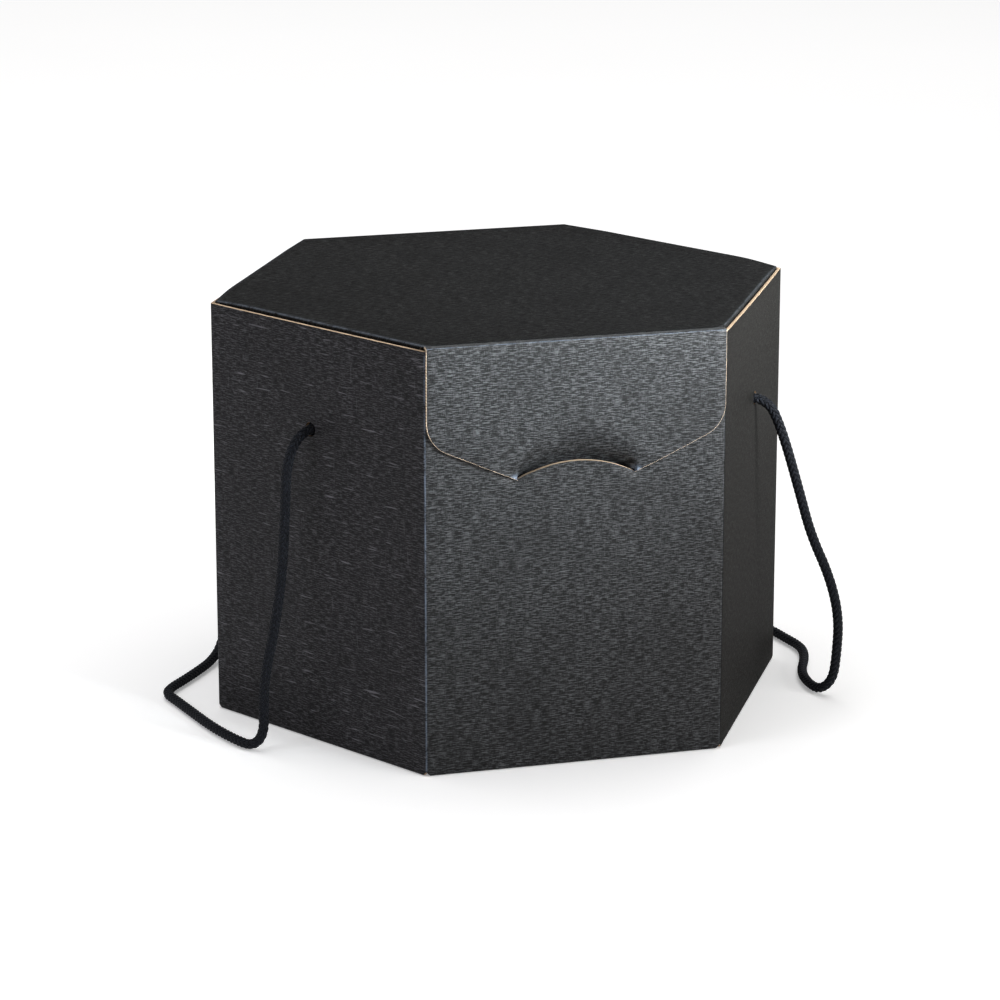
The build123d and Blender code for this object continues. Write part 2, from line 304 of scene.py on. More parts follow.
@dataclass(frozen=True)
class LinenPaper(Finish):
    """Black paper with a linen emboss, on the outside of the board."""

    dark: tuple[float, float, float] = (0.0025, 0.0025, 0.0028)
    thread: tuple[float, float, float] = (0.070, 0.0735, 0.0775)
    # colour of scuffed creases; the same colour paints the highlights on folds and the glints by the slit
    wear_and_highlight: tuple[float, float, float] = (0.15, 0.17, 0.20)
    emboss: float = 0.28 * MM
    across: float = 0.34
    slubs: float = 0.3
    # strength of the scuffing and of the painted highlights
    wear_and_highlight_amount: float = 0.6
    sheen: float = 0.02

    def build(self, groups: dict[str, bpy.types.NodeTree]) -> bpy.types.Material:
        """Makes the material.

        Args:
            groups: the shared node groups.

        Returns:
            The material, wired from them.
        """
        material, desk, shader = self.start()
        sheet = desk.add("ShaderNodeUVMap", uv_map="sheet").outputs[0]
        place = desk.add("ShaderNodeTexCoord").outputs["Object"]
        linen = desk.add("ShaderNodeGroup", node_tree=groups["linen_emboss"])
        desk.tree.links.new(sheet, linen.inputs["Sheet"])
        linen.inputs["Across"].default_value = self.across
        linen.inputs["Slubs"].default_value = self.slubs
        # per-vertex scuffing and painted highlight, from 0 to 1
        wear_and_highlight = desk.add("ShaderNodeAttribute", attribute_name="wear_and_highlight").outputs["Fac"]
        wear_and_highlight_amount = desk.add("ShaderNodeGroup", node_tree=groups["crease_wear_and_highlight"])
        desk.tree.links.new(wear_and_highlight, wear_and_highlight_amount.inputs["WearAndHighlight"])
        desk.tree.links.new(place, wear_and_highlight_amount.inputs["Place"])
        wear_and_highlight_amount.inputs["Amount"].default_value = self.wear_and_highlight_amount
        threads = desk.mixed(linen.outputs["Threads"], (*self.dark, 1.0), (*self.thread, 1.0))
        pale = tuple(min(1.0, 2.1 * value) for value in self.thread)
        slubbed = desk.mixed(linen.outputs["Slub"], threads, (*pale, 1.0))
        cloud = desk.between(desk.noise(place, 3.0, 0.6, 38.0), 0.35, 0.7)
        clouded = desk.mixed(desk.math("MULTIPLY", cloud, 0.28), slubbed, (*self.dark, 1.0))
        # the scuff colour, which also paints fold highlights and glints
        colour = desk.mixed(wear_and_highlight_amount.outputs["Mask"], clouded, (*self.wear_and_highlight, 1.0))
        desk.tree.links.new(colour, shader.inputs["Base Color"])
        smoother = desk.math("MULTIPLY", linen.outputs["Threads"], 0.16)
        rough = desk.math("SUBTRACT", self.roughness + 0.08, smoother)
        desk.tree.links.new(rough, shader.inputs["Roughness"])
        shader.inputs["Sheen Weight"].default_value = self.sheen
        shader.inputs["Sheen Roughness"].default_value = 0.4
        self.bump(desk, shader, linen.outputs["Height"], self.emboss)
        return material


@dataclass(frozen=True)
class KraftLiner(Finish):
    """Natural kraft paper, on the inside of the board."""

    pale: tuple[float, float, float] = (0.47, 0.31, 0.18)
    deep: tuple[float, float, float] = (0.33, 0.205, 0.11)
    fleck: tuple[float, float, float] = (0.16, 0.09, 0.045)
    relief: float = 0.06 * MM

    def build(self, groups: dict[str, bpy.types.NodeTree]) -> bpy.types.Material:
        """Makes the material.

        Args:
            groups: the shared node groups.

        Returns:
            The material, wired from them.
        """
        material, desk, shader = self.start()
        place = desk.add("ShaderNodeTexCoord").outputs["Object"]
        sheet = desk.add("ShaderNodeUVMap", uv_map="sheet").outputs[0]
        fibre = desk.add("ShaderNodeGroup", node_tree=groups["paper_fibre"])
        desk.tree.links.new(place, fibre.inputs["Place"])
        across_flutes = desk.add("ShaderNodeSeparateXYZ", {0: sheet}).outputs[1]
        washboard = desk.math("SINE", desk.math("MULTIPLY", across_flutes, 2900.0))
        banded = desk.sum((fibre.outputs["Cloud"], 0.5), (fibre.outputs["Fibre"], 0.5), (washboard, 0.06))
        base = desk.mixed(desk.between(banded, 0.3, 0.7), (*self.deep, 1.0), (*self.pale, 1.0))
        colour = desk.mixed(desk.math("MULTIPLY", fibre.outputs["Fleck"], 0.5), base, (*self.fleck, 1.0))
        desk.tree.links.new(colour, shader.inputs["Base Color"])
        height = desk.sum((fibre.outputs["Fibre"], 0.5), (washboard, 0.35))
        self.bump(desk, shader, height, self.relief)
        return material


@dataclass(frozen=True)
class CutEdge(Finish):
    """Raw cut edge of the board: cream core, with open flute ends where the cut runs across the flutes, their
    openings painted dark as shade.
    """

    cream: tuple[float, float, float] = (0.42, 0.31, 0.21)
    brown: tuple[float, float, float] = (0.26, 0.17, 0.11)
    # painted shade inside the open flute ends
    flute_shade: tuple[float, float, float] = (0.10, 0.06, 0.035)
    flute_pitch: float = 1.25 * MM
    relief: float = 0.08 * MM
    flute_ends: bool = False

    def build(self, groups: dict[str, bpy.types.NodeTree]) -> bpy.types.Material:
        """Makes the material.

        Args:
            groups: the shared node groups.

        Returns:
            The material, wired from them.
        """
        material, desk, shader = self.start()
        place = desk.add("ShaderNodeTexCoord").outputs["Object"]
        fibre = desk.add("ShaderNodeGroup", node_tree=groups["paper_fibre"])
        desk.tree.links.new(place, fibre.inputs["Place"])
        clouded = desk.math("ADD", desk.math("MULTIPLY", fibre.outputs["Cloud"], 0.4), fibre.outputs["Fibre"])
        colour = desk.mixed(desk.between(clouded, 0.35, 0.9), (*self.brown, 1.0), (*self.cream, 1.0))
        if self.flute_ends:
            height = desk.add("ShaderNodeSeparateXYZ", {0: place}).outputs[2]
            wave = desk.math("SINE", desk.math("MULTIPLY", height, 2 * math.pi / self.flute_pitch))
            # painted shade in the open flute ends, in stripes up the edge
            flute_shade_mask = desk.math("MULTIPLY", desk.between(wave, -0.1, 0.9), 0.75)
            colour = desk.mixed(flute_shade_mask, colour, (*self.flute_shade, 1.0))
        else:
            colour = desk.mixed(0.55, colour, (*self.cream, 1.0))
        desk.tree.links.new(colour, shader.inputs["Base Color"])
        self.bump(desk, shader, fibre.outputs["Fibre"], self.relief)
        return material


@dataclass(frozen=True)
class BraidYarn(Finish):
    """Matte spun yarn of a braided cord."""

    dark: tuple[float, float, float] = (0.0012, 0.0014, 0.0022)
    pale: tuple[float, float, float] = (0.010, 0.0125, 0.019)
    relief: float = 0.09 * MM

    def build(self, groups: dict[str, bpy.types.NodeTree]) -> bpy.types.Material:
        """Makes the material.

        Args:
            groups: the shared node groups, none of which yarn needs.

        Returns:
            The material.
        """
        material, desk, shader = self.start()
        strand = desk.add("ShaderNodeUVMap", uv_map="sheet").outputs[0]
        parts = desk.add("ShaderNodeSeparateXYZ", {0: strand}).outputs
        twist = desk.math("ADD", desk.math("MULTIPLY", parts[0], 5.0), desk.math("MULTIPLY", parts[1], 900.0))
        plies = desk.math("SINE", desk.math("MULTIPLY", twist, 2 * math.pi))
        fuzz = desk.noise(desk.stretched(strand, (9.0, 2600.0, 1.0)), 4.0, 0.7)
        share = desk.math("ADD", desk.math("MULTIPLY", plies, 0.2), fuzz)
        colour = desk.mixed(desk.between(share, 0.25, 0.8), (*self.dark, 1.0), (*self.pale, 1.0))
        desk.tree.links.new(colour, shader.inputs["Base Color"])
        shader.inputs["Sheen Weight"].default_value = 0.05
        shader.inputs["Sheen Roughness"].default_value = 0.5
        self.bump(desk, shader, share, self.relief)
        return material


# =============================== bench tools ===============================


def only(piece: bpy.types.Object) -> None:
    """Makes a piece the only selected one, and the active one.

    Args:
        piece: the piece.
    """
    for other in bpy.context.selected_objects:
        other.select_set(False)
    piece.select_set(True)
    bpy.context.view_layer.objects.active = piece


def clear_bench() -> None:
    """Deselects everything, so that the next primitive is the only thing selected."""
    for other in bpy.context.selected_objects:
        other.select_set(False)


def points_of(piece: bpy.types.Object) -> np.ndarray:
    """Reads where the piece's vertices are.

    Args:
        piece: the mesh.

    Returns:
        Its vertices, as rows of three.
    """
    flat = np.zeros(len(piece.data.vertices) * 3)
    piece.data.vertices.foreach_get("co", flat)
    return flat.reshape(-1, 3)


def set_points(piece: bpy.types.Object, points: np.ndarray) -> None:
    """Moves the piece's vertices to rows of three."""
    piece.data.vertices.foreach_set("co", points.ravel())
    piece.data.update()


def apply_modifier(piece: bpy.types.Object, kind: str, **settings: object) -> None:
    """Adds a modifier with its settings and applies it.

    Args:
        piece: the mesh.
        kind: the modifier's type.
        settings: its settings.
    """
    only(piece)
    modifier = piece.modifiers.new(kind.lower(), kind)
    for name, value in settings.items():
        setattr(modifier, name, value)
    bpy.ops.object.modifier_apply(modifier=modifier.name)


def rounded(corners: list[Corner], steps: int = 8) -> Ring:
    """Rounds the corners of an outline.

    Args:
        corners: x, z and radius of each corner, counter-clockwise as seen from the outer face.
        steps: straight pieces in each rounding.

    Returns:
        The outline's points.
    """
    ring: Ring = []
    count = len(corners)
    for index, (x, z, radius) in enumerate(corners):
        here = Vector((x, z))
        if radius <= 0:
            ring.append((x, z))
            continue
        before = (Vector(corners[index - 1][:2]) - here).normalized()
        after = (Vector(corners[(index + 1) % count][:2]) - here).normalized()
        half = before.angle(after) / 2
        centre = here + (before + after).normalized() * (radius / math.sin(half))
        first = here + before * (radius / math.tan(half)) - centre
        turn = math.pi - 2 * half
        side = 1 if first.x * (here - centre).y - first.y * (here - centre).x > 0 else -1
        for step in range(steps + 1):
            angle = side * turn * step / steps
            ring.append((
                centre.x + first.x * math.cos(angle) - first.y * math.sin(angle),
                centre.y + first.x * math.sin(angle) + first.y * math.cos(angle),
            ))
    return ring


def flat_plate(name: str, ring: Ring, depth: float) -> bpy.types.Object:
    """Cuts a flat plate: its outer face at y = 0 looks along -Y, and its thickness goes inwards.

    Args:
        name: the piece's name.
        ring: its outline in x and z, counter-clockwise as seen from outside.
        depth: its thickness.

    Returns:
        The plate.
    """
    clear_bench()
    bpy.ops.mesh.primitive_circle_add(vertices=len(ring), radius=0.1, fill_type="NGON")
    plate = bpy.context.active_object
    plate.name = plate.data.name = name
    for vertex, (x, z) in zip(plate.data.vertices, ring):
        vertex.co = (x, 0.0, z)
    plate.data.update()
    if plate.data.polygons[0].normal.y > 0:
        only(plate)
        bpy.ops.object.mode_set(mode="EDIT")
        bpy.ops.mesh.select_all(action="SELECT")
        bpy.ops.mesh.flip_normals()
        bpy.ops.object.mode_set(mode="OBJECT")
    apply_modifier(plate, "SOLIDIFY", thickness=depth, offset=-1.0, use_even_offset=False)
    return plate


def cut_through(piece: bpy.types.Object, cutter: bpy.types.Object) -> None:
    """Takes the cutter's shape out of a piece and removes the cutter."""
    apply_modifier(piece, "BOOLEAN", operation="DIFFERENCE", object=cutter, solver="EXACT")
    bpy.data.objects.remove(cutter)


def score(piece: bpy.types.Object, cuts: list[tuple[Vector, Vector]], keep_inside: bool = True) -> None:
    """Adds a line of edges where each plane crosses the piece, so that it can bend there.

    Args:
        piece: the mesh.
        cuts: a point and a normal for each plane.
        keep_inside: False also removes what lies on the normal's side, and closes the cut.
    """
    only(piece)
    bpy.ops.object.mode_set(mode="EDIT")
    for point, normal in cuts:
        bpy.ops.mesh.select_all(action="SELECT")
        bpy.ops.mesh.bisect(
            plane_co=point, plane_no=normal, use_fill=not keep_inside, clear_outer=not keep_inside,
            threshold=TOUCH / 10,
        )
    bpy.ops.object.mode_set(mode="OBJECT")


def lines(axis: int, places: list[float]) -> list[tuple[Vector, Vector]]:
    """Planes square to an axis at these places."""
    normal = Vector([1.0 if index == axis else 0.0 for index in range(3)])
    return [(normal * place, normal) for place in places]


def spaced(first: float, last: float, step: float) -> list[float]:
    """Places from first to last, as evenly as whole steps allow."""
    count = max(1, round((last - first) / step))
    return [first + (last - first) * index / count for index in range(count + 1)]


def curl(piece: bpy.types.Object, axis: int, start: float, radius: float, angle: float) -> None:
    """Folds inwards what lies past a crease, round an arc.

    Args:
        piece: a flat plate with its outer face at y = 0.
        axis: 0 folds past x = start, 2 past z = start.
        start: where the arc begins; a negative angle folds the other end.
        radius: outer radius of the fold.
        angle: how far the board turns; what lies past the arc goes on straight.
    """
    points = points_of(piece)
    sign = 1.0 if angle > 0 else -1.0
    along = sign * (points[:, axis] - start)
    past = along > 0
    turn = np.clip(along / radius, 0.0, abs(angle))
    straight = np.clip(along - radius * abs(angle), 0.0, None)
    reach = np.maximum(radius - points[:, 1], 0.04 * radius)
    new_along = reach * np.sin(turn) + straight * np.cos(turn)
    new_depth = radius - reach * np.cos(turn) + straight * np.sin(turn)
    points[past, axis] = start + sign * new_along[past]
    points[past, 1] = new_depth[past]
    set_points(piece, points)


def lay_sheet(piece: bpy.types.Object, turn: float = 0.0, shift: tuple[float, float] = (0.0, 0.0)) -> None:
    """Writes the flat sheet's own coordinates to the UV map that the papers read.

    Args:
        piece: the plate, still flat.
        turn: how far the piece's x axis is turned from the sheet's, in radians.
        shift: the sheet's coordinates at the piece's origin.
    """
    mesh = piece.data
    layer = mesh.uv_layers.get("sheet") or mesh.uv_layers.new(name="sheet")
    cosine, sine = math.cos(turn), math.sin(turn)
    for loop in mesh.loops:
        x, _, z = mesh.vertices[loop.vertex_index].co
        layer.data[loop.index].uv = (x * cosine - z * sine + shift[0], x * sine + z * cosine + shift[1])


def name_faces(piece: bpy.types.Object, rim: Callable[[Vector, Vector], Face], depth: float) -> None:
    """Gives each face of a flat plate its side of the board.

    Args:
        piece: the plate, still flat.
        rim: says what a rim face is, from its middle and normal.
        depth: thickness of the plate.
    """
    for face in piece.data.polygons:
        if abs(face.normal.y) > 0.98:
            face.material_index = Face.OUTSIDE if face.center.y < depth / 2 else Face.INSIDE
        else:
            face.material_index = rim(face.center.copy(), face.normal.copy())


def ease_cut_edges(
    piece: bpy.types.Object, width: float, steps: int = 2, profile: float = 0.5, bared: bool = False
) -> None:
    """Breaks the sharp edges where a raw cut meets the two faces of the board.

    Args:
        piece: the plate, still flat.
        width: how far the break reaches from the edge.
        steps: faces across it.
        profile: 0.5 is round; nearer 1 stays closer to the sharp edge.
        bared: True leaves the whole break as raw as the cut, and as wide as asked all round.
    """
    only(piece)
    bpy.ops.object.mode_set(mode="EDIT")
    bpy.ops.mesh.select_mode(type="EDGE")
    bpy.ops.mesh.select_all(action="DESELECT")
    shape = bmesh.from_edit_mesh(piece.data)
    raw = (Face.CUT, Face.FLUTE_ENDS)
    found = False
    for edge in shape.edges:
        kinds = [face.material_index in raw for face in edge.link_faces]
        level = abs(edge.verts[0].co.y - edge.verts[1].co.y) < TOUCH / 10
        if level and len(kinds) == 2 and kinds[0] != kinds[1]:
            edge.select = found = True
    shape.select_flush_mode()
    bmesh.update_edit_mesh(piece.data)
    if found:
        bpy.ops.mesh.bevel(
            offset=width, segments=steps, profile=profile, affect="EDGES", clamp_overlap=not bared
        )
    bpy.ops.object.mode_set(mode="OBJECT")
    for face in piece.data.polygons:
        if bared and found and face.select:
            face.material_index = Face.CUT


def mark_wear_and_highlight(piece: bpy.types.Object, wear_and_highlight: Callable[[np.ndarray], np.ndarray]) -> None:
    """Stores for each vertex, from 0 to 1, its scuffing and any painted highlight, as the attribute that the papers
    read.
    """
    layer = piece.data.attributes.get("wear_and_highlight") or piece.data.attributes.new("wear_and_highlight", "FLOAT", "POINT")
    layer.data.foreach_set("value", wear_and_highlight(points_of(piece)).astype(np.float32))


def place(piece: bpy.types.Object, where: Matrix) -> None:
    """Moves the piece's mesh into the box's frame, and smooths what is nearly flat.

    Args:
        piece: the mesh.
        where: its place in the box's frame.
    """
    piece.data.transform(where)
    piece.data.update()
    only(piece)
    bpy.ops.object.shade_smooth_by_angle(angle=math.radians(32))


def nowhere(points: np.ndarray) -> np.ndarray:
    """Returns nought for every point, for board that is neither bowed nor worn."""
    return np.zeros(len(points))


def dress(piece: bpy.types.Object, papers: list[bpy.types.Material]) -> None:
    """Gives a piece of board its papers, in the order of Face."""
    for paper in papers:
        piece.data.materials.append(paper)


def never_raw(_middle: Vector, _normal: Vector) -> Face:
    """Rim rule of a piece whose rims all meet a neighbour."""
    return Face.OUTSIDE


def all_raw(_middle: Vector, normal: Vector) -> Face:
    """Rim rule of a piece cut all round: the flutes run along x, so their ends show on upright cuts."""
    return Face.FLUTE_ENDS if abs(normal.x) > 0.8 else Face.CUT


# =============================== the box's sizes ===============================


@dataclass(frozen=True)
class BoxSizes:
    """Sizes that all pieces share, in metres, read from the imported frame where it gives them."""

    board: float = 1.5 * MM
    apothem: float = field(default_factory=lambda: -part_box("front_wall")[0].y)
    half_side: float = field(default_factory=lambda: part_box("front_wall")[1].x)
    wall_height: float = field(default_factory=lambda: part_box("back_wall")[1].z)
    lid_top: float = field(default_factory=lambda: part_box("lid_panel")[1].z)
    flap_face: float = field(default_factory=lambda: -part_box("front_flap")[0].y)
    flap_half_width: float = field(default_factory=lambda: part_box("front_flap")[1].x)
    corner_radius: float = 1.7 * MM
    fold_radius: float = 0.8 * MM
    lid_play: float = 0.15 * MM
    seam_strip: float = 1.6 * MM

    @property
    def inner_apothem(self) -> float:
        """Distance of a wall's inner face from the middle of the box."""
        return self.apothem - self.board

    @property
    def lid_reach(self) -> float:
        """Distance of the lid's side creases from the middle, pressed out against the walls."""
        return self.inner_apothem - self.lid_play


@dataclass(frozen=True)
class Slit:
    """The arc slit in the front wall, and how the board on each side of it gives way to the tongue."""

    half_chord: float = 25.0 * MM
    end_height: float = 124.0 * MM
    rise: float = 6.7 * MM
    depth: float = 6.6 * MM
    slope: float = math.tan(math.radians(19))
    reach: float = 16.0 * MM
    end_reach: float = 10.5 * MM
    kerf: float = 0.08 * MM
    lip_drop: float = 0.06 * MM
    bulge: float = 0.75 * MM
    bulge_fade: float = 9.0 * MM
    bulge_half_width: float = 34.0 * MM
    ease_power: float = 1.9
    end_share: float = 0.995
    shoulder_depth: float = 1.4 * MM
    shoulder_width: float = 5.0 * MM
    shoulder_lift: float = 2.6 * MM
    shoulder_height: float = 4.5 * MM

    def arc(self, x: np.ndarray) -> np.ndarray:
        """Height of the slit's arc, held level past its ends.

        Args:
            x: places along the front.

        Returns:
            The height at each place.
        """
        radius = (self.half_chord**2 + self.rise**2) / (2 * self.rise)
        inside = np.clip(np.abs(x), 0.0, self.half_chord)
        return self.end_height + self.rise - radius + np.sqrt(radius**2 - inside**2)

    def dip(self, x: np.ndarray, z: np.ndarray) -> np.ndarray:
        """How far the board above the slit is pushed in at each point.

        Args:
            x: places along the front.
            z: heights.

        Returns:
            Depths below the flat face.
        """
        share = np.clip(np.abs(x) / self.half_chord, 0.0, 1.0)
        above = z - self.arc(x)
        reach = self.end_reach + (self.reach - self.end_reach) * (1 - share**2)
        ease = np.sqrt(np.clip(1 - share**10, 0.0, 1.0))
        rising = np.clip(1 - above / reach, 0.0, 1.0) ** self.ease_power
        over = self.depth * ease * np.where(above >= 0, rising, 1.0)
        below = (above < 0) & (share < self.end_share)
        under = np.where(below, self.depth * (1 - ease) - above * self.slope, 0.0)
        return np.where(np.abs(x) < self.half_chord, over + under, 0.0) + self.shoulder(x, z)

    def shoulder(self, x: np.ndarray, z: np.ndarray) -> np.ndarray:
        """The shallow hollow that each end of the slit draws into the board beside it.

        Args:
            x: places along the front.
            z: heights.

        Returns:
            Depths below the flat face.
        """
        aside = (np.abs(x) - self.half_chord) / self.shoulder_width
        up = (z - self.end_height - self.shoulder_lift) / self.shoulder_height
        return self.shoulder_depth * np.exp(-(aside**2) - up**2)

    def swell(self, x: np.ndarray, z: np.ndarray) -> np.ndarray:
        """How far the board under the slit stands proud.

        Args:
            x: places along the front.
            z: heights.

        Returns:
            Heights above the flat face.
        """
        under = self.arc(x) - z
        down = np.exp(-np.clip(under, 0.0, None) / self.bulge_fade)
        across = np.clip(1 - (np.abs(x) / self.bulge_half_width) ** 2, 0.0, 1.0)
        return self.bulge * down * across


# =============================== walls ===============================


def upright(angle: float, distance: float) -> Matrix:
    """Where a plate goes so that its outer face looks out at this angle, this far from the middle."""
    return Matrix.Rotation(math.radians(angle - 270), 4, "Z") @ Matrix.Translation((0.0, -distance, 0.0))


@dataclass
class Walls:
    """The six walls: each ends half way round the creases at its corners, so they make one closed band."""

    sizes: BoxSizes
    slit: Slit
    papers: list[bpy.types.Material]
    shaded_left_papers: list[bpy.types.Material]
    shaded_right_papers: list[bpy.types.Material]
    side_walls: dict[str, float] = field(
        default_factory=lambda: {
            "front_left": 210.0, "back_left": 150.0, "back_right": 30.0, "front_right": 330.0,
        }
    )
    hole_height: float = 136.0 * MM
    hole_from_middle: float = 3.0 * MM
    hole_radius: float = 3.0 * MM
    corner_cut: float = 1.8 * MM
    top_bulge: float = 0.35 * MM
    cut_ease: float = 0.16 * MM
    foot_radius: float = 0.9 * MM
    bend_spacing: float = 8.0 * MM
    bow_fade: float = 55.0 * MM
    hinge_strip: float = 2.0 * MM
    hinge_half_width: float = 61.1 * MM
    worn_ends: dict[float, tuple[float, float]] = field(
        default_factory=lambda: {270.0: (0.8, 0.05), 210.0: (0.1, 0.7)}
    )

    @property
    def flat_half(self) -> float:
        """Half the width of a wall between its corner arcs."""
        return self.sizes.half_side - self.sizes.corner_radius * math.tan(math.radians(30))

    @property
    def blank_half(self) -> float:
        """Half the width of a wall's flat blank, with half of each corner arc."""
        return self.flat_half + self.sizes.corner_radius * math.radians(30)

    def blank(self, name: str, top_notch: bool = False) -> bpy.types.Object:
        """Cuts one wall flat.

        Args:
            name: the piece's name.
            top_notch: True leaves room for the strip that the lid's hinge crease takes.

        Returns:
            The flat wall, its faces named.
        """
        half, top, cut = self.blank_half, self.sizes.wall_height, self.corner_cut
        ring: Ring = [(-half, cut), (-half + cut, 0.0), (half - cut, 0.0), (half, cut), (half, top)]
        if top_notch:
            strip = top - self.hinge_strip
            ring += [(x, z) for x, z in (
                (self.hinge_half_width, top), (self.hinge_half_width, strip),
                (-self.hinge_half_width, strip), (-self.hinge_half_width, top),
            )]
        ring.append((-half, top))
        wall = flat_plate(name, ring, self.sizes.board)

        def rim(middle: Vector, normal: Vector) -> Face:
            """Raw on top and at the corner cuts, creased elsewhere.

            Args:
                middle: middle of a rim face.
                normal: its normal.

            Returns:
                What the face is.
            """
            top_edge = normal.z > 0.9 and middle.z > top - TOUCH
            corner_edge = 0.1 < abs(normal.x) < 0.9
            return Face.CUT if top_edge or corner_edge else Face.OUTSIDE

        name_faces(wall, rim, self.sizes.board)
        return wall

    def finish(
        self, wall: bpy.types.Object, angle: float, index: int, bow: Callable[[np.ndarray], np.ndarray]
    ) -> None:
        """Scores, bows, folds and places a wall.

        Args:
            wall: the flat wall.
            angle: which way it faces.
            index: its place in the row of walls on the sheet.
            bow: how far each vertex stands in from the flat face.
        """
        ease_cut_edges(wall, self.cut_ease)
        arc = spaced(self.flat_half, self.blank_half, 0.2 * MM)[:-1]
        gap, top = self.bend_spacing, self.sizes.wall_height
        score(wall, lines(0, [sign * x for x in arc for sign in (-1, 1)] + spaced(-56 * MM, 56 * MM, gap)))
        score(wall, lines(2, spaced(gap, top - 6 * MM, gap) + [top - 3 * MM]))
        lay_sheet(wall, shift=(index * 2 * self.sizes.half_side, 0.0))
        half = self.blank_half
        left, right = self.worn_ends.get(angle, (0.15, 0.15))
        mark_wear_and_highlight(wall, lambda co: np.clip((np.abs(co[:, 0]) - half + 0.5 * MM) / (0.4 * MM), 0.0, 1.0)
                  * np.where(co[:, 0] < 0, left, right))
        points = points_of(wall)
        points[:, 1] += bow(points)
        set_points(wall, points)
        self.round_foot(wall)
        curl(wall, 0, self.flat_half, self.sizes.corner_radius, math.radians(30))
        curl(wall, 0, -self.flat_half, self.sizes.corner_radius, -math.radians(30))
        place(wall, upright(angle, self.sizes.apothem))
        # walls facing right or left get the painted-shade copies of the paper
        facing = math.cos(math.radians(angle))
        dress(wall, self.shaded_right_papers if facing > 0.5 else self.shaded_left_papers if facing < -0.5 else self.papers)

    def round_foot(self, wall: bpy.types.Object) -> None:
        """Rounds the outer edge along the foot, where the board turns under.

        Args:
            wall: the flat wall.
        """
        only(wall)
        bpy.ops.object.mode_set(mode="EDIT")
        bpy.ops.mesh.select_mode(type="EDGE")
        bpy.ops.mesh.select_all(action="DESELECT")
        shape = bmesh.from_edit_mesh(wall.data)
        for edge in shape.edges:
            low = all(abs(vertex.co.z) < TOUCH for vertex in edge.verts)
            level = abs(edge.verts[0].co.x - edge.verts[1].co.x) > TOUCH
            outer = all(vertex.co.y < self.sizes.board / 2 for vertex in edge.verts)
            edge.select = low and level and outer
        shape.select_flush_mode()
        bmesh.update_edit_mesh(wall.data)
        bpy.ops.mesh.bevel(offset=self.foot_radius, segments=4, affect="EDGES", clamp_overlap=False)
        bpy.ops.object.mode_set(mode="OBJECT")

    def side(self, name: str, angle: float, index: int) -> bpy.types.Object:
        """Makes one side wall with its cord hole.

        Args:
            name: which wall, such as front_left.
            angle: which way it faces.
            index: its place in the row of walls on the sheet.

        Returns:
            The finished wall.
        """
        wall = self.blank(f"{name}_wall_board")
        near_corner = 0.0 if math.cos(math.radians(angle)) > 0 else 180.0
        towards = 1.0 if math.sin(math.radians(near_corner - angle)) > 0 else -1.0
        x = towards * self.hole_from_middle
        clear_bench()
        bpy.ops.mesh.primitive_cylinder_add(
            vertices=40, radius=self.hole_radius, depth=6 * self.sizes.board,
            location=(x, 0.0, self.hole_height), rotation=(math.pi / 2, 0.0, 0.0),
        )
        punch = bpy.context.active_object
        cut_through(wall, punch)
        for face in wall.data.polygons:
            # the punched hole's rim is raw cut board but gets the darker kraft liner as painted shade where the cord
            # fills it
            off = Vector((face.center.x - x, face.center.z - self.hole_height))
            if off.length < self.hole_radius + 10 * TOUCH and abs(face.normal.y) < 0.5:
                face.material_index = Face.INSIDE
        top, half = self.sizes.wall_height, self.sizes.half_side
        way = 1.0 if name.startswith("front") else -0.6

        def bow(co: np.ndarray) -> np.ndarray:
            """Bulges the front ones out along the free top edge, and draws the back ones in."""
            across = np.clip(1 - (co[:, 0] / half) ** 2, 0.0, 1.0)
            return -way * self.top_bulge * across * np.exp(-(top - co[:, 2]) / self.bow_fade)

        self.finish(wall, angle, index, bow)
        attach(wall, "box")
        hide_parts(f"{name}_wall")
        return wall

    def back(self, index: int) -> bpy.types.Object:
        """Makes the back wall, cut away along the top for the hinge crease.

        Args:
            index: its place in the row of walls on the sheet.

        Returns:
            The finished wall.
        """
        wall = self.blank("back_wall_board", top_notch=True)
        self.finish(wall, 90.0, index, nowhere)
        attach(wall, "box")
        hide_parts("back_wall")
        return wall

    def front(self, index: int) -> bpy.types.Object:
        """Makes the front wall, with its slit open, its lip pushed in and its face drawn out below.

        Args:
            index: its place in the row of walls on the sheet.

        Returns:
            The finished wall.
        """
        slit, board = self.slit, self.sizes.board
        wall = self.blank("front_wall_board")
        xs = np.array(spaced(-slit.half_chord, slit.half_chord, 1.25 * MM))
        taper = np.sqrt(np.clip(1 - (xs / slit.half_chord) ** 2, 0.02, 1.0))
        upper = [(x, z) for x, z in zip(xs, slit.arc(xs) + slit.kerf * taper)]
        lower = [(x, z) for x, z in zip(xs, slit.arc(xs) - slit.kerf * taper)]
        knife = flat_plate("slit_knife", lower + upper[::-1], 4 * board)
        knife.data.transform(Matrix.Translation((0.0, -1.5 * board, 0.0)))
        cut_through(wall, knife)
        for face in wall.data.polygons:
            middle = face.center
            near = abs(middle.z - float(slit.arc(np.array([middle.x]))[0])) < 3 * slit.kerf
            if near and abs(middle.x) < slit.half_chord and abs(face.normal.y) < 0.5:
                face.material_index = Face.CUT
        fine_x = spaced(-36 * MM, 36 * MM, 1.5 * MM)
        fine_z = spaced(slit.end_height - 16 * MM, slit.end_height + 24 * MM, 1.25 * MM)
        score(wall, lines(0, fine_x))
        score(wall, lines(2, fine_z))
        points = points_of(wall)
        x, z = points[:, 0], points[:, 2]
        over_slit = (np.abs(x) < slit.half_chord) & (z > slit.arc(x))
        beside = np.abs(x) >= slit.half_chord
        inwards = np.where(over_slit, slit.dip(x, z), np.where(beside, slit.shoulder(x, z), 0.0))
        fade = np.clip(1 - (slit.arc(x) - z) / (3 * MM), 0.0, 1.0)
        under_slit = ~over_slit & ~beside
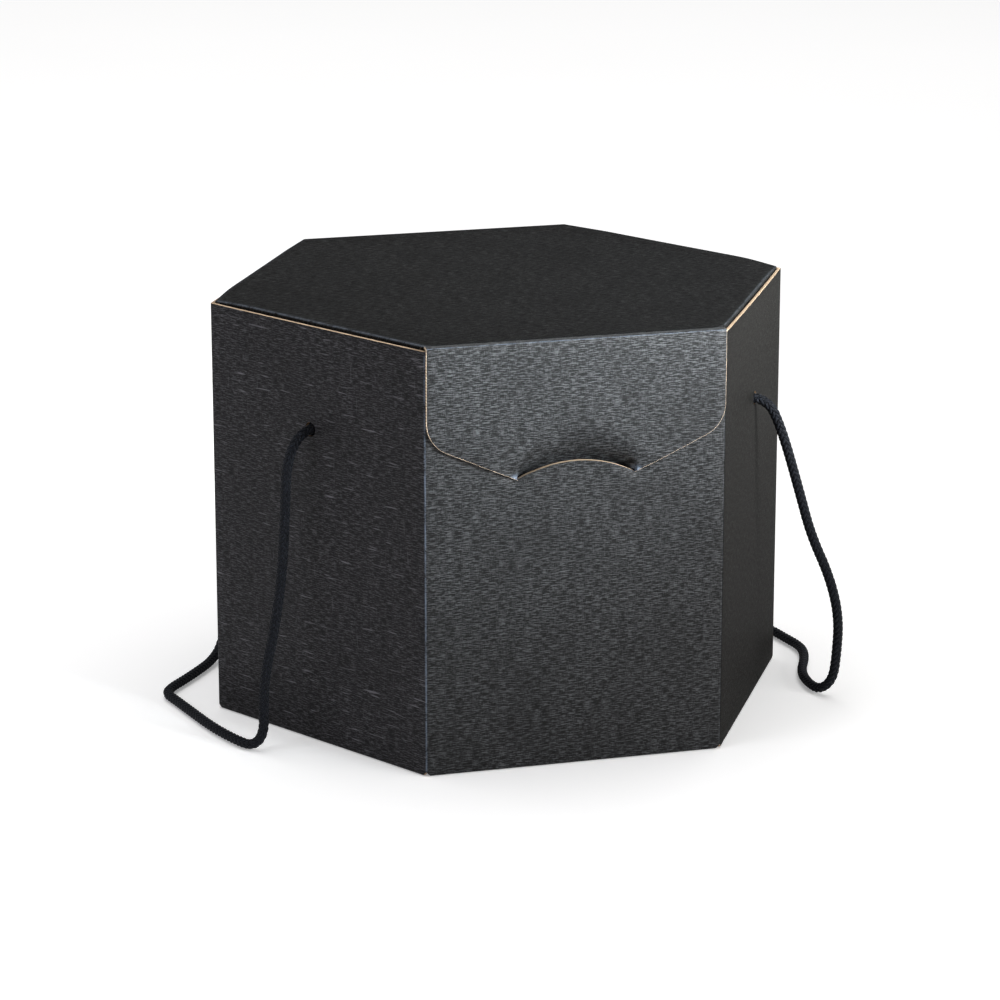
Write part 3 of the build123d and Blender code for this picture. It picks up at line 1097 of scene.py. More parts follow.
        inwards += np.where(under_slit, slit.shoulder(x, z) * fade, 0.0)
        proud = np.where(z <= slit.arc(x), slit.swell(x, z), 0.0)
        edge = under_slit & (slit.arc(x) - z < 2 * slit.kerf) & (points[:, 1] < board / 2)
        points[edge, 2] -= slit.lip_drop
        points[:, 1] += inwards - proud
        set_points(wall, points)
        self.finish(wall, 270.0, index, nowhere)
        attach(wall, "box")
        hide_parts("front_wall")
        return wall

    def build(self) -> list[bpy.types.Object]:
        """Makes all six walls.

        Returns:
            The walls.
        """
        pieces = [self.front(0), self.back(3)]
        for index, (name, angle) in zip((5, 4, 2, 1), self.side_walls.items()):
            pieces.append(self.side(name, angle, index))
        return pieces


# =============================== lid ===============================


@dataclass
class Lid:
    """The lid's top, its hinge crease, its four dust flaps and the front flap with its tongue."""

    sizes: BoxSizes
    slit: Slit
    papers: list[bpy.types.Material]
    lit_edge_flap_papers: list[bpy.types.Material]
    walls: Walls
    dust_depth: float = 28.0 * MM
    dust_lean: float = 8.0
    dust_half: float = 60.2 * MM
    corner_droop: float = 0.7 * MM
    middle_sag: float = 0.3 * MM
    edge_lift: float = 0.5 * MM
    cut_ease: float = 0.2 * MM
    flap_ease: float = 0.07 * MM
    flap_side: float = 38.5 * MM
    flap_corner: float = 14.0 * MM

    @property
    def dust_turn(self) -> float:
        """Angle that the board turns through from the lid into a dust flap."""
        return math.radians(90 + self.dust_lean)

    @property
    def dust_tangent(self) -> float:
        """From a side crease's sharp corner to where its arc meets the lid's top."""
        return self.sizes.fold_radius * math.tan(self.dust_turn / 2)

    @property
    def top_line(self) -> float:
        """Distance of the seam between the lid's top and a side crease from the middle."""
        return self.sizes.lid_reach - self.dust_tangent - self.sizes.seam_strip

    def droop(self, piece: bpy.types.Object) -> None:
        """Lets the lid's two free corners down, as the board has taken a set there.

        Args:
            piece: a piece of the lid, in its place.
        """
        points = points_of(piece)
        x, y = np.abs(points[:, 0]), points[:, 1]
        corner = np.clip((x - 112 * MM) / (13 * MM), 0.0, 1.2)
        middle = np.clip(1 - (x / (118 * MM)) ** 2, 0, 1) * np.clip(1 - (y / (104 * MM)) ** 2, 0, 1)
        out = x * math.cos(math.radians(30)) + y * math.sin(math.radians(30))
        near = np.clip((out - 88 * MM) / (16 * MM), 0.0, 1.0) ** 2
        ahead, behind = y / (14 * MM), (self.sizes.inner_apothem - y) / (22 * MM)
        along = np.clip(ahead, 0.0, 1.0) * np.clip(behind, 0.0, 1.0)
        points[:, 2] += self.edge_lift * near * along - self.corner_droop * corner**2 - self.middle_sag * middle
        set_points(piece, points)

    def top(self) -> bpy.types.Object:
        """Makes the lid's top with the hinge crease and the strip of wall that it turns down to.

        Returns:
            The finished top.
        """
        sizes = self.sizes
        radius = sizes.fold_radius
        back_seam = sizes.apothem - radius
        front_seam = sizes.inner_apothem
        line = self.top_line

        def across(y: float) -> float:
            """Half width of the lid's top at this distance from the middle."""
            return (line - abs(y) * 0.5) / math.cos(math.radians(30))

        hinge_half = self.walls.hinge_half_width
        strip = sizes.lid_top - radius - (sizes.wall_height - self.walls.hinge_strip)
        end = back_seam + radius * math.pi / 2 + strip
        ring: Ring = [
            (-across(front_seam), -front_seam), (across(front_seam), -front_seam), (across(0.0), 0.0),
            (across(back_seam), back_seam), (hinge_half, back_seam), (hinge_half, end),
            (-hinge_half, end), (-hinge_half, back_seam), (-across(back_seam), back_seam),
            (-across(0.0), 0.0),
        ]
        lid = flat_plate("lid_top_board", ring, sizes.board)
        name_faces(lid, never_raw, sizes.board)
        score(lid, lines(2, spaced(back_seam, back_seam + radius * math.pi / 2, 0.24 * MM)))
        score(lid, lines(0, spaced(-120 * MM, 120 * MM, 4 * MM)))
        score(lid, lines(2, spaced(-104 * MM, 104 * MM, 8 * MM)))
        lay_sheet(lid)
        rub_and_highlight = back_seam + 1.3 * MM
        mark_wear_and_highlight(lid, lambda co: 0.5 * np.clip(1 - np.abs(co[:, 2] - rub_and_highlight) / (0.8 * MM), 0.0, 1.0))
        curl(lid, 2, back_seam, radius, math.pi / 2)
        place(lid, Matrix.Translation((0.0, 0.0, sizes.lid_top)) @ Matrix.Rotation(-math.pi / 2, 4, "X"))
        self.droop(lid)
        dress(lid, self.papers)
        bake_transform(lid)
        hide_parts("lid_panel")
        return lid

    def dust_flap(self, name: str, angle: float) -> bpy.types.Object:
        """Makes one dust flap with its crease and its strip of the lid.

        Args:
            name: which one, such as front_left.
            angle: which way its wall faces.

        Returns:
            The finished flap.
        """
        sizes = self.sizes
        radius, turn = sizes.fold_radius, self.dust_turn
        tangent = self.dust_tangent
        low = -(self.dust_depth - tangent)
        half, over = self.dust_half, 72 * MM
        run = self.dust_depth / math.tan(math.radians(60))
        arc_end = radius * turn
        top = arc_end + sizes.seam_strip
        corners: list[Corner] = [
            (-half + run, low, 7 * MM), (half - run, low, 7 * MM), (half, 0.0, 0.0), (over, 0.0, 0.0),
            (over, top, 0.0), (-over, top, 0.0), (-over, 0.0, 0.0), (-half, 0.0, 0.0),
        ]
        flap = flat_plate(f"{name}_dust_flap_board", rounded(corners), sizes.board)

        def rim(middle: Vector, _normal: Vector) -> Face:
            """Raw but where it meets the lid's top and its mitres."""
            free = middle.z < arc_end - TOUCH and abs(middle.x) < over - TOUCH
            return Face.CUT if free else Face.OUTSIDE

        name_faces(flap, rim, sizes.board)
        ease_cut_edges(flap, self.cut_ease)
        score(flap, lines(2, spaced(0.0, arc_end, 0.17 * MM)))
        score(flap, lines(0, spaced(-64 * MM, 64 * MM, 4 * MM)))
        turn_in_sheet = math.radians(angle - 270)
        # painted highlight along each side fold, partly scuffing: strong on the left folds, which face away from the
        # lamps, faint on the right ones, which the lamps light
        rub_and_highlight = 0.12 if math.cos(math.radians(angle)) > 0 else 0.6
        reach = sizes.lid_reach
        normal = Vector((math.cos(math.radians(angle)), math.sin(math.radians(angle))))
        shift = normal * (reach - tangent + arc_end)
        lay_sheet(flap, turn_in_sheet, (shift.x, shift.y))
        fold_highlight_line = arc_end * 0.55
        mark_wear_and_highlight(flap, lambda co: rub_and_highlight * np.clip(1.2 - np.abs(co[:, 2] - fold_highlight_line) / (0.6 * MM), 0.0, 1.0))
        curl(flap, 2, 0.0, radius, turn)
        lean = Matrix.Translation((0.0, radius, 0.0)) @ Matrix.Rotation(math.radians(self.dust_lean), 4, "X")
        lean = lean @ Matrix.Translation((0.0, -radius, 0.0))
        points = [lean @ Vector(point) for point in points_of(flap)]
        peak = max(point.z for point in points)
        inward = max(point.y for point in points if point.z > peak - 10 * TOUCH)
        seat = Matrix.Translation((0.0, (reach - self.top_line) - inward, sizes.lid_top - peak))
        place(flap, upright(angle, reach) @ seat @ lean)
        self.trim(flap, angle)
        self.droop(flap)
        dress(flap, self.papers)
        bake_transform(flap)
        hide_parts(f"{name}_dust_flap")
        return flap

    def trim(self, flap: bpy.types.Object, angle: float) -> None:
        """Mitres a side crease's ends to the next crease, and to the front flap or the hinge.

        Args:
            flap: the dust flap, in its place.
            angle: which way its wall faces.
        """
        front = math.sin(math.radians(angle)) < 0
        limit = self.sizes.inner_apothem if front else self.sizes.apothem - self.sizes.fold_radius
        side = -1.0 if front else 1.0
        score(flap, [(Vector((0, 0, 0)), Vector((0, -side, 0)))], keep_inside=False)
        score(flap, [(Vector((0, side * limit, 0)), Vector((0, side, 0)))], keep_inside=False)
        for face in flap.data.polygons:
            at = abs(face.center.y)
            if abs(face.normal.y) > 0.999 and (at < TOUCH or abs(at - limit) < TOUCH):
                face.material_index = Face.OUTSIDE

    def front_flap(self) -> bpy.types.Object:
        """Makes the front flap with its crease, its rounded corners and the tongue in the slit.

        Returns:
            The finished flap.
        """
        sizes, slit = self.sizes, self.slit
        radius = sizes.fold_radius
        half = sizes.flap_half_width
        arc_start = sizes.lid_top - radius
        seam = arc_start + radius * math.pi / 2
        top = seam + (sizes.flap_face - radius - sizes.inner_apothem)
        shoulder = sizes.wall_height - self.flap_side
        end, low = slit.half_chord, slit.end_height
        right: list[Corner] = [
            (14.5 * MM, low - 7.2 * MM, 5 * MM), (22.4 * MM, low - 2.6 * MM, 0.0),
            (24.2 * MM, low - 0.6 * MM, 0.0), (end + 0.4 * MM, low + 0.2 * MM, 0.0),
            (half, shoulder, self.flap_corner), (half, top, 0.0),
        ]
        left: list[Corner] = [(-x, z, rounding) for x, z, rounding in reversed(right)]
        flap = flat_plate("front_flap_board", rounded(left + right, 14), sizes.board)

        def rim(middle: Vector, normal: Vector) -> Face:
            """Raw but where it meets the lid's top."""
            return all_raw(middle, normal) if middle.z < top - TOUCH else Face.OUTSIDE

        name_faces(flap, rim, sizes.board)
        ease_cut_edges(flap, self.flap_ease, 2, 0.6, bared=True)
        score(flap, lines(2, spaced(arc_start, seam, 0.16 * MM)))
        outer_lines = [-60 * MM, -50 * MM, 50 * MM, 60 * MM]
        upper_lines = [158 * MM, 166 * MM, 174 * MM]
        score(flap, lines(0, spaced(-36 * MM, 36 * MM, 1.25 * MM) + outer_lines))
        score(flap, lines(2, spaced(low - 6 * MM, low + 26 * MM, 1.0 * MM) + upper_lines))
        lay_sheet(flap, shift=(0.0, -sizes.inner_apothem - top))

        def wear_and_highlight(co: np.ndarray) -> np.ndarray:
            """Paints a highlight along the fold, partly scuffing, and glints at the two points where the flap enters
            the slit.

            Args:
                co: the flap's vertices.

            Returns:
                How much scuffing and painted highlight each gets.
            """
            # painted highlight in a thin band along the fold, partly scuffing; the two spots are painted glints
            fold = np.clip(1 - np.abs(co[:, 2] - arc_start - 0.45 * MM) / (0.28 * MM), 0.0, 1.0) * 0.4
            aside = (np.abs(co[:, 0]) - end - 0.9 * MM) / (1.5 * MM)
            up = (co[:, 2] - low - 1.0 * MM) / (1.0 * MM)
            return np.maximum(fold, 1.4 * np.exp(-(aside**2) - up**2))

        mark_wear_and_highlight(flap, wear_and_highlight)
        points = points_of(flap)
        points[:, 1] += slit.dip(points[:, 0], points[:, 2]) * (points[:, 2] < low + 30 * MM)
        set_points(flap, points)
        curl(flap, 2, arc_start, radius, math.pi / 2)
        place(flap, upright(270.0, sizes.flap_face))
        dress(flap, self.lit_edge_flap_papers)
        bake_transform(flap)
        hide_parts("front_flap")
        return flap

    def build(self) -> list[bpy.types.Object]:
        """Makes the lid's six pieces.

        Returns:
            The pieces.
        """
        pieces = [self.top(), self.front_flap()]
        for name, angle in self.walls.side_walls.items():
            pieces.append(self.dust_flap(name, angle))
        return pieces


# =============================== base ===============================


@dataclass
class SnapLockBase:
    """The folded base: front panel with its lock tab, back panel, four side flaps and the glue tab."""

    sizes: BoxSizes
    walls: Walls
    papers: list[bpy.types.Material]
    panel_half: float = 60.0 * MM
    taper: float = 9.0 * MM
    tab_half: float = 21.0 * MM
    notch_half: float = 23.0 * MM
    ramp_start: float = 4.0 * MM
    ramp_length: float = 26.0 * MM
    hold: float = 20.0 * MM
    front_reach: float = 16.0 * MM
    back_reach: float = 22.0 * MM
    gap: float = 0.6 * MM
    cut_ease: float = 0.3 * MM

    def board(
        self, name: str, node: str, corners: list[Corner], height: float, steps: float = 6 * MM
    ) -> bpy.types.Object:
        """Makes one base board, black side down.

        Args:
            name: the piece's name.
            node: the CAD node that it stands for.
            corners: outline in x and -y, counter-clockwise as seen from below.
            height: of its underside.
            steps: spacing of the lines that let it bow.

        Returns:
            The board.
        """
        sizes = self.sizes
        piece = flat_plate(name, rounded(corners), sizes.board)
        crease = sizes.inner_apothem - 10 * TOUCH

        def rim(middle: Vector, normal: Vector) -> Face:
            """Raw everywhere but along the crease at the wall."""
            return Face.OUTSIDE if abs(middle.z) > crease and abs(normal.z) > 0.9 else all_raw(middle, normal)

        name_faces(piece, rim, sizes.board)
        ease_cut_edges(piece, self.cut_ease)
        across, along = spaced(-54 * MM, 54 * MM, steps), spaced(-100 * MM, 100 * MM, steps)
        score(piece, lines(0, across) + lines(2, along))
        lay_sheet(piece)
        place(piece, Matrix.Translation((0.0, 0.0, height)) @ Matrix.Rotation(math.pi / 2, 4, "X"))
        dress(piece, self.papers)
        mark_wear_and_highlight(piece, nowhere)
        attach(piece, "box")
        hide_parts(node)
        return piece

    def front_panel(self) -> bpy.types.Object:
        """Makes the front panel, its lock tab climbing over the back panel.

        Returns:
            The finished panel.
        """
        crease, half, tab, notch = self.sizes.inner_apothem, self.panel_half, self.tab_half, self.notch_half
        start, free, edge = self.ramp_start, half - self.taper, self.front_reach
        reach = self.ramp_start + self.ramp_length + self.hold
        corners: list[Corner] = [
            (-half, crease, 0), (-free, -edge, 3 * MM), (-notch, -edge, 3 * MM), (-notch, -start, 0.8 * MM),
            (-tab, -start, 0.8 * MM), (-tab, -reach, 5 * MM), (tab, -reach, 5 * MM), (tab, -start, 0.8 * MM),
            (notch, -start, 0.8 * MM), (notch, -edge, 3 * MM), (free, -edge, 3 * MM), (half, crease, 0),
        ]
        panel = self.board("front_base_board", "front_base_panel", corners, 0.0, 3 * MM)
        points = points_of(panel)
        on_tab = np.abs(points[:, 0]) < tab + 0.5 * MM
        climb = np.clip((points[:, 1] - start) / self.ramp_length, 0.0, 1.0)
        lift = 3 * self.sizes.board * climb**2 * (3 - 2 * climb)
        points[:, 2] += np.where(on_tab & (points[:, 1] > start), lift, 0.0)
        set_points(panel, points)
        return panel

    def back_panel(self) -> bpy.types.Object:
        """Makes the back panel, notched for the lock tab.

        Returns:
            The finished panel.
        """
        crease, half, notch = self.sizes.inner_apothem, self.panel_half, self.notch_half
        free, edge = half - self.taper, self.back_reach
        notch_end = self.ramp_start + self.ramp_length + self.gap
        corners: list[Corner] = [
            (-half, -crease, 0), (half, -crease, 0), (free, edge, 3 * MM), (notch, edge, 3 * MM),
            (notch, -notch_end, 2 * MM), (-notch, -notch_end, 2 * MM), (-notch, edge, 3 * MM),
            (-free, edge, 3 * MM),
        ]
        return self.board("back_base_board", "back_base_panel", corners, 2 * self.sizes.board)

    def side_flap(self, name: str, angle: float) -> bpy.types.Object:
        """Makes one side flap of the base, between the front and back panels.

        Args:
            name: which one, such as front_left.
            angle: which way its wall faces.

        Returns:
            The finished flap.
        """
        radius = self.sizes.inner_apothem / math.cos(math.radians(30)) - self.gap
        x_sign = 1.0 if math.cos(math.radians(angle)) > 0 else -1.0
        y_sign = 1.0 if math.sin(math.radians(angle)) > 0 else -1.0
        inner = self.notch_half + self.gap
        outline = [
            (x_sign * radius, y_sign * self.gap),
            (x_sign * radius * 0.5, y_sign * radius * math.sin(math.radians(60))),
            (x_sign * inner, y_sign * inner * math.tan(math.radians(60))),
            (x_sign * inner, y_sign * self.gap),
        ]
        roundings = (0.0, 0.0, 1.5 * MM, 1.5 * MM)
        corners: list[Corner] = [(x, -y, rounding) for (x, y), rounding in zip(outline, roundings)]
        area = sum(a[0] * b[1] - b[0] * a[1] for a, b in zip(corners, corners[1:] + corners[:1]))
        if area < 0:
            corners.reverse()
        return self.board(f"{name}_base_flap_board", f"{name}_base_flap", corners, self.sizes.board)

    def glue_tab(self) -> bpy.types.Object:
        """Makes the strip glued to the inside of the back wall, which closes the band of walls.

        Returns:
            The finished strip.
        """
        low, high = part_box("glue_tab")
        taper = 6.0 * MM
        left, right = -high.x, -low.x
        corners: list[Corner] = [
            (left, low.z + taper, 1 * MM), (right, low.z, 0), (right, high.z, 0),
            (left, high.z - taper, 1 * MM),
        ]
        tab = flat_plate("glue_tab_board", rounded(corners), self.sizes.board)

        def rim(middle: Vector, normal: Vector) -> Face:
            """Raw but along the crease at the neighbouring wall."""
            return all_raw(middle, normal) if middle.x < right - TOUCH else Face.OUTSIDE

        name_faces(tab, rim, self.sizes.board)
        ease_cut_edges(tab, self.cut_ease)
        score(tab, lines(2, spaced(20 * MM, 135 * MM, 8 * MM)))
        lay_sheet(tab)
        mark_wear_and_highlight(tab, nowhere)
        place(tab, upright(90.0, self.sizes.inner_apothem))
        dress(tab, self.papers)
        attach(tab, "box")
        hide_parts("glue_tab")
        return tab

    def build(self) -> list[bpy.types.Object]:
        """Makes the base's six boards and the glue tab.

        Returns:
            The pieces.
        """
        pieces = [self.front_panel(), self.back_panel(), self.glue_tab()]
        for name, angle in self.walls.side_walls.items():
            pieces.append(self.side_flap(name, angle))
        return pieces


# =============================== cord handles ===============================

LAY = 2.3
LEFT_LENGTH = 0.4221
RIGHT_LENGTH = 0.4161
LEFT_ROUTE = [
    (-96.2, -52.08, 136.0), (-102.52, -55.73, 136.0), (-109.5, -59.4, 124.5), (-110.0, -58.2, 104.0),
    (-111.5, -57.4, 76.0), (-115.5, -58.5, 52.0), (-120.2, -60.0, 33.0), (-120.8, -58.8, 19.5),
    (-121.3, -61.5, 7.6), (-126.0, -60.5, LAY), (-131.2, -50.5, LAY), (-137.4, -31.5, LAY),
    (-142.2, -8.0, LAY), (-145.2, 7.0, LAY), (-147.6, 17.5, LAY), (-144.0, 25.2, LAY),
    (-136.5, 34.0, LAY), (-126.5, 47.0, LAY), (-119.0, 58.0, LAY), (-112.8, 67.0, 5.5),
    (-110.3, 66.0, 19.0), (-110.5, 63.0, 43.0), (-110.4, 60.8, 76.0), (-109.8, 60.0, 105.0),
    (-109.2, 59.2, 124.5), (-102.52, 55.73, 136.0), (-96.2, 52.08, 136.0),
]
RIGHT_ROUTE = [
    (96.2, -52.08, 136.0), (102.52, -55.73, 136.0), (108.4, -58.2, 122.5), (117.0, -58.9, 93.5),
    (122.0, -60.0, 75.0), (130.5, -62.2, 55.5), (135.0, -62.6, 37.0), (135.2, -60.2, 19.0),
    (134.0, -59.6, 7.8), (129.4, -56.2, LAY), (127.8, -45.0, LAY), (130.4, -29.5, LAY),
    (139.2, -11.0, LAY), (143.0, 3.5, LAY), (140.6, 18.5, LAY), (138.4, 33.0, LAY),
    (131.5, 47.0, LAY), (123.0, 58.0, LAY), (118.8, 65.4, 7.2), (117.6, 66.4, 20.0),
    (114.4, 63.4, 45.0), (111.4, 61.2, 77.0), (110.4, 59.8, 106.0), (109.2, 59.2, 124.5),
    (102.52, 55.73, 136.0), (96.2, 52.08, 136.0),
]
# A tight overhand knot: across the hole, up, and inwards from the wall, in knot units.
KNOT_ROUTE = [
    (0.0, 0.0, -2.9), (-0.15, 0.05, -2.2), (-1.3, 0.55, -1.9), (-2.1, -0.3, -2.1),
    (-1.3, -1.9, -2.3), (0.2, -3.0, -1.9), (1.7, -3.2, -1.0), (2.3, -2.1, 0.0),
    (1.4, -0.7, 0.4), (0.0, 0.0, 0.0), (-1.4, -0.7, -0.4), (-2.3, -2.1, 0.0),
    (-1.7, -3.2, 1.0), (-0.2, -3.0, 1.9), (1.3, -1.9, 2.3), (2.0, -0.4, 2.5),
    (1.9, 0.5, 3.6), (1.6, 0.4, 5.6), (1.9, -0.2, 7.2),
]


def nurbs_line(name: str, route: list[tuple[float, float, float]]) -> np.ndarray:
    """Draws a smooth line with the route's points as its control points, and reads it back.

    Args:
        name: the curve's name.
        route: control points, in metres.

    Returns:
        Points along the smooth line, as rows.
    """
    curve = bpy.data.curves.new(name, "CURVE")
    curve.dimensions = "3D"
    curve.resolution_u = 24
    spline = curve.splines.new("NURBS")
    spline.points.add(len(route) - 1)
    for point, place_ in zip(spline.points, route):
        point.co = (*place_, 1.0)
    spline.order_u = 3
    spline.use_endpoint_u = True
    holder = bpy.data.objects.new(name, curve)
    bpy.context.scene.collection.objects.link(holder)
    bpy.context.view_layer.update()
    mesh = bpy.data.meshes.new_from_object(holder)
    points = np.array([vertex.co for vertex in mesh.vertices], float)
    bpy.data.objects.remove(holder)
    bpy.data.meshes.remove(mesh)
    return points


def travelled(points: np.ndarray) -> np.ndarray:
    """Distance along a line at each of its points."""
    return np.concatenate([[0.0], np.cumsum(np.linalg.norm(np.diff(points, axis=0), axis=1))])


def evenly(points: np.ndarray, step: float) -> np.ndarray:
    """Walks a line in even steps.

    Args:
        points: points along the line.
        step: about how far apart the new ones are.

    Returns:
        The new points.
    """
    runs = np.linalg.norm(np.diff(points, axis=0), axis=1)
    keep = np.concatenate([[True], runs > 1e-9])
    points = points[keep]
    distance = travelled(points)
    count = max(2, int(round(distance[-1] / step)))
    wanted = np.linspace(0.0, distance[-1], count + 1)
    return np.stack([np.interp(wanted, distance, points[:, axis]) for axis in range(3)], axis=1)


def steady_frames(points: np.ndarray) -> tuple[np.ndarray, np.ndarray]:
    """Directions across a line that turn no more than they must.

    Args:
        points: points along the line.

    Returns:
        The first and second cross directions at each point.
    """
    tangents = np.gradient(points, axis=0)
    tangents /= np.linalg.norm(tangents, axis=1)[:, None]
    first = np.zeros_like(points)
    start = np.cross(tangents[0], (0.0, 0.0, 1.0))
    first[0] = start / np.linalg.norm(start)
    for index in range(1, len(points)):
        carried = first[index - 1] - tangents[index] * (first[index - 1] @ tangents[index])
        first[index] = carried / np.linalg.norm(carried)
    return first, np.cross(tangents, first)


@dataclass
class Braid:
    """A round braid: strands wind both ways round the cord and pass over and under each other in pairs."""

    yarn: bpy.types.Material
    diameter: float = 4.5 * MM
    strands: int = 6
    turn_length: float = 15.0 * MM
    step: float = 0.72 * MM
    strand_half_width: float = 0.70 * MM
    strand_half_depth: float = 0.40 * MM
    weave: float = 0.30 * MM
    sides: int = 6

    def build(self, name: str, line: np.ndarray) -> tuple[bpy.types.Object, np.ndarray]:
        """Braids a cord along a line.

        Args:
            name: the piece's name.
            line: points along its middle.

        Returns:
            The cord, and the middle points that its rings stand on.
        """
        middle = evenly(line, self.step)
        first, second = steady_frames(middle)
        travel = travelled(middle)
        rings = len(middle)
        base_radius = self.diameter / 2 - self.strand_half_depth - self.weave
        vertices, faces, uvs = [], [], []

        def tube(centres: np.ndarray, out: np.ndarray, side: np.ndarray, wide: float, deep: float) -> None:
            """Adds one strand as a flattened tube.

            Args:
                centres: points along its middle.
                out: direction away from the cord at each.
                side: direction across the strand at each.
                wide: half its width.
                deep: half its depth.
            """
            offset = sum(len(block) for block in vertices)
            block = []
            for corner in range(self.sides):
                angle = 2 * math.pi * corner / self.sides
                block.append(centres + side * (wide * math.cos(angle)) + out * (deep * math.sin(angle)))
            vertices.append(np.stack(block, axis=1).reshape(-1, 3))
            for ring in range(rings - 1):
                for corner in range(self.sides):
                    after = (corner + 1) % self.sides
                    a, b = offset + ring * self.sides + corner, offset + ring * self.sides + after
                    faces.append((a, b, b + self.sides, a + self.sides))
                    low, high = corner / self.sides, (corner + 1) / self.sides
                    here, there = travel[ring], travel[ring + 1]
                    uvs.append(((low, here), (high, here), (high, there), (low, there)))
            last = offset + (rings - 1) * self.sides
            faces.append(tuple(offset + corner for corner in reversed(range(self.sides))))
            faces.append(tuple(last + corner for corner in range(self.sides)))
            for _end in range(2):
                uvs.append(tuple((corner / self.sides, 0.0) for corner in range(self.sides)))

        for way in (1.0, -1.0):
            for strand in range(self.strands):
                turn = way * 2 * math.pi * travel / self.turn_length + 2 * math.pi * strand / self.strands
                radius = base_radius + way * self.weave * np.cos(self.strands / 2 * turn - math.pi / 4)
                out = first * np.cos(turn)[:, None] + second * np.sin(turn)[:, None]
                centres = middle + out * radius[:, None]
                ahead = np.gradient(centres, axis=0)
                ahead /= np.linalg.norm(ahead, axis=1)[:, None]
                side = np.cross(ahead, out)
                side /= np.linalg.norm(side, axis=1)[:, None]
                outward = np.cross(side, ahead)
                tube(centres, outward, side, self.strand_half_width, self.strand_half_depth)
        core = base_radius - 0.1 * MM
        tube(middle, second, first, core, core)
        mesh = bpy.data.meshes.new(name)
        mesh.from_pydata(np.concatenate(vertices).tolist(), [], faces)
        layer = mesh.uv_layers.new(name="sheet")
        for polygon, corners in zip(mesh.polygons, uvs):
            for loop, corner in zip(polygon.loop_indices, corners):
                layer.data[loop].uv = corner
        piece = bpy.data.objects.new(name, mesh)
        bpy.context.scene.collection.objects.link(piece)
        mesh.materials.append(self.yarn)
        only(piece)
        bpy.ops.object.mode_set(mode="EDIT")
        bpy.ops.mesh.select_all(action="SELECT")
        bpy.ops.mesh.normals_make_consistent(inside=False)
        bpy.ops.object.mode_set(mode="OBJECT")
        bpy.ops.object.shade_smooth()
        return piece, middle


@dataclass
class Handles:
    """The two cord handles, each from the front side wall round the corner to the back one."""

    sizes: BoxSizes
    walls: Walls
    braid: Braid
    knot_unit: float = 1.55 * MM

    def knot(self, name: str, angle: float) -> bpy.types.Object:
        """Ties one overhand knot against the inside of a wall.

        Args:
            name: which wall, such as front_left.
            angle: which way that wall faces.

        Returns:
            The knot with its short tail.
        """
        near_corner = 0.0 if math.cos(math.radians(angle)) > 0 else 180.0
        towards = 1.0 if math.sin(math.radians(near_corner - angle)) > 0 else -1.0
        unit = self.knot_unit
        hole = Vector((towards * self.walls.hole_from_middle, self.sizes.board, self.walls.hole_height))
        where = upright(angle, self.sizes.apothem)
        route = [
            tuple(where @ (hole + Vector((across * unit, (inwards + 2.9) * unit, up * unit))))
            for across, up, inwards in KNOT_ROUTE
        ]
        piece, _middle = self.braid.build(f"{name}_cord_knot", nurbs_line(f"{name}_knot_line", route))
        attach(piece, "box")
        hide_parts(f"{name}_knot")
        return piece

    def build(self) -> list[bpy.types.Object]:
        """Makes both cords and their four knots.

        Returns:
            The pieces.
        """
        pieces = []
        for side, route, length in (("left", LEFT_ROUTE, LEFT_LENGTH), ("right", RIGHT_ROUTE, RIGHT_LENGTH)):
            knots = [self.knot(name, angle) for name, angle in self.walls.side_walls.items() if side in name]
            scaled = [tuple(value * MM for value in point) for point in route]
            line = nurbs_line(f"{side}_handle_line", scaled)
            cord, middle = self.braid.build(f"{side}_handle_braid", line)
            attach(cord, "box")
            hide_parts(f"{side}_handle_cord")
            [tuple(point) for point in middle]
            pieces += [cord, *knots]
        return pieces


# =============================== studio ===============================


def towards(location: tuple[float, float, float], aim: tuple[float, float, float]) -> Euler:
    """Rotation that points a camera or a lamp at a place."""
    return (Vector(aim) - Vector(location)).to_track_quat("-Z", "Y").to_euler()


@dataclass(frozen=True)
class Lamp:
    """One soft box: metres, watts, and the spread of its light in degrees."""

    name: str
    location: tuple[float, float, float]
    aim: tuple[float, float, float]
    size: tuple[float, float]
    power: float
    colour: tuple[float, float, float]
    spread: float = 180.0


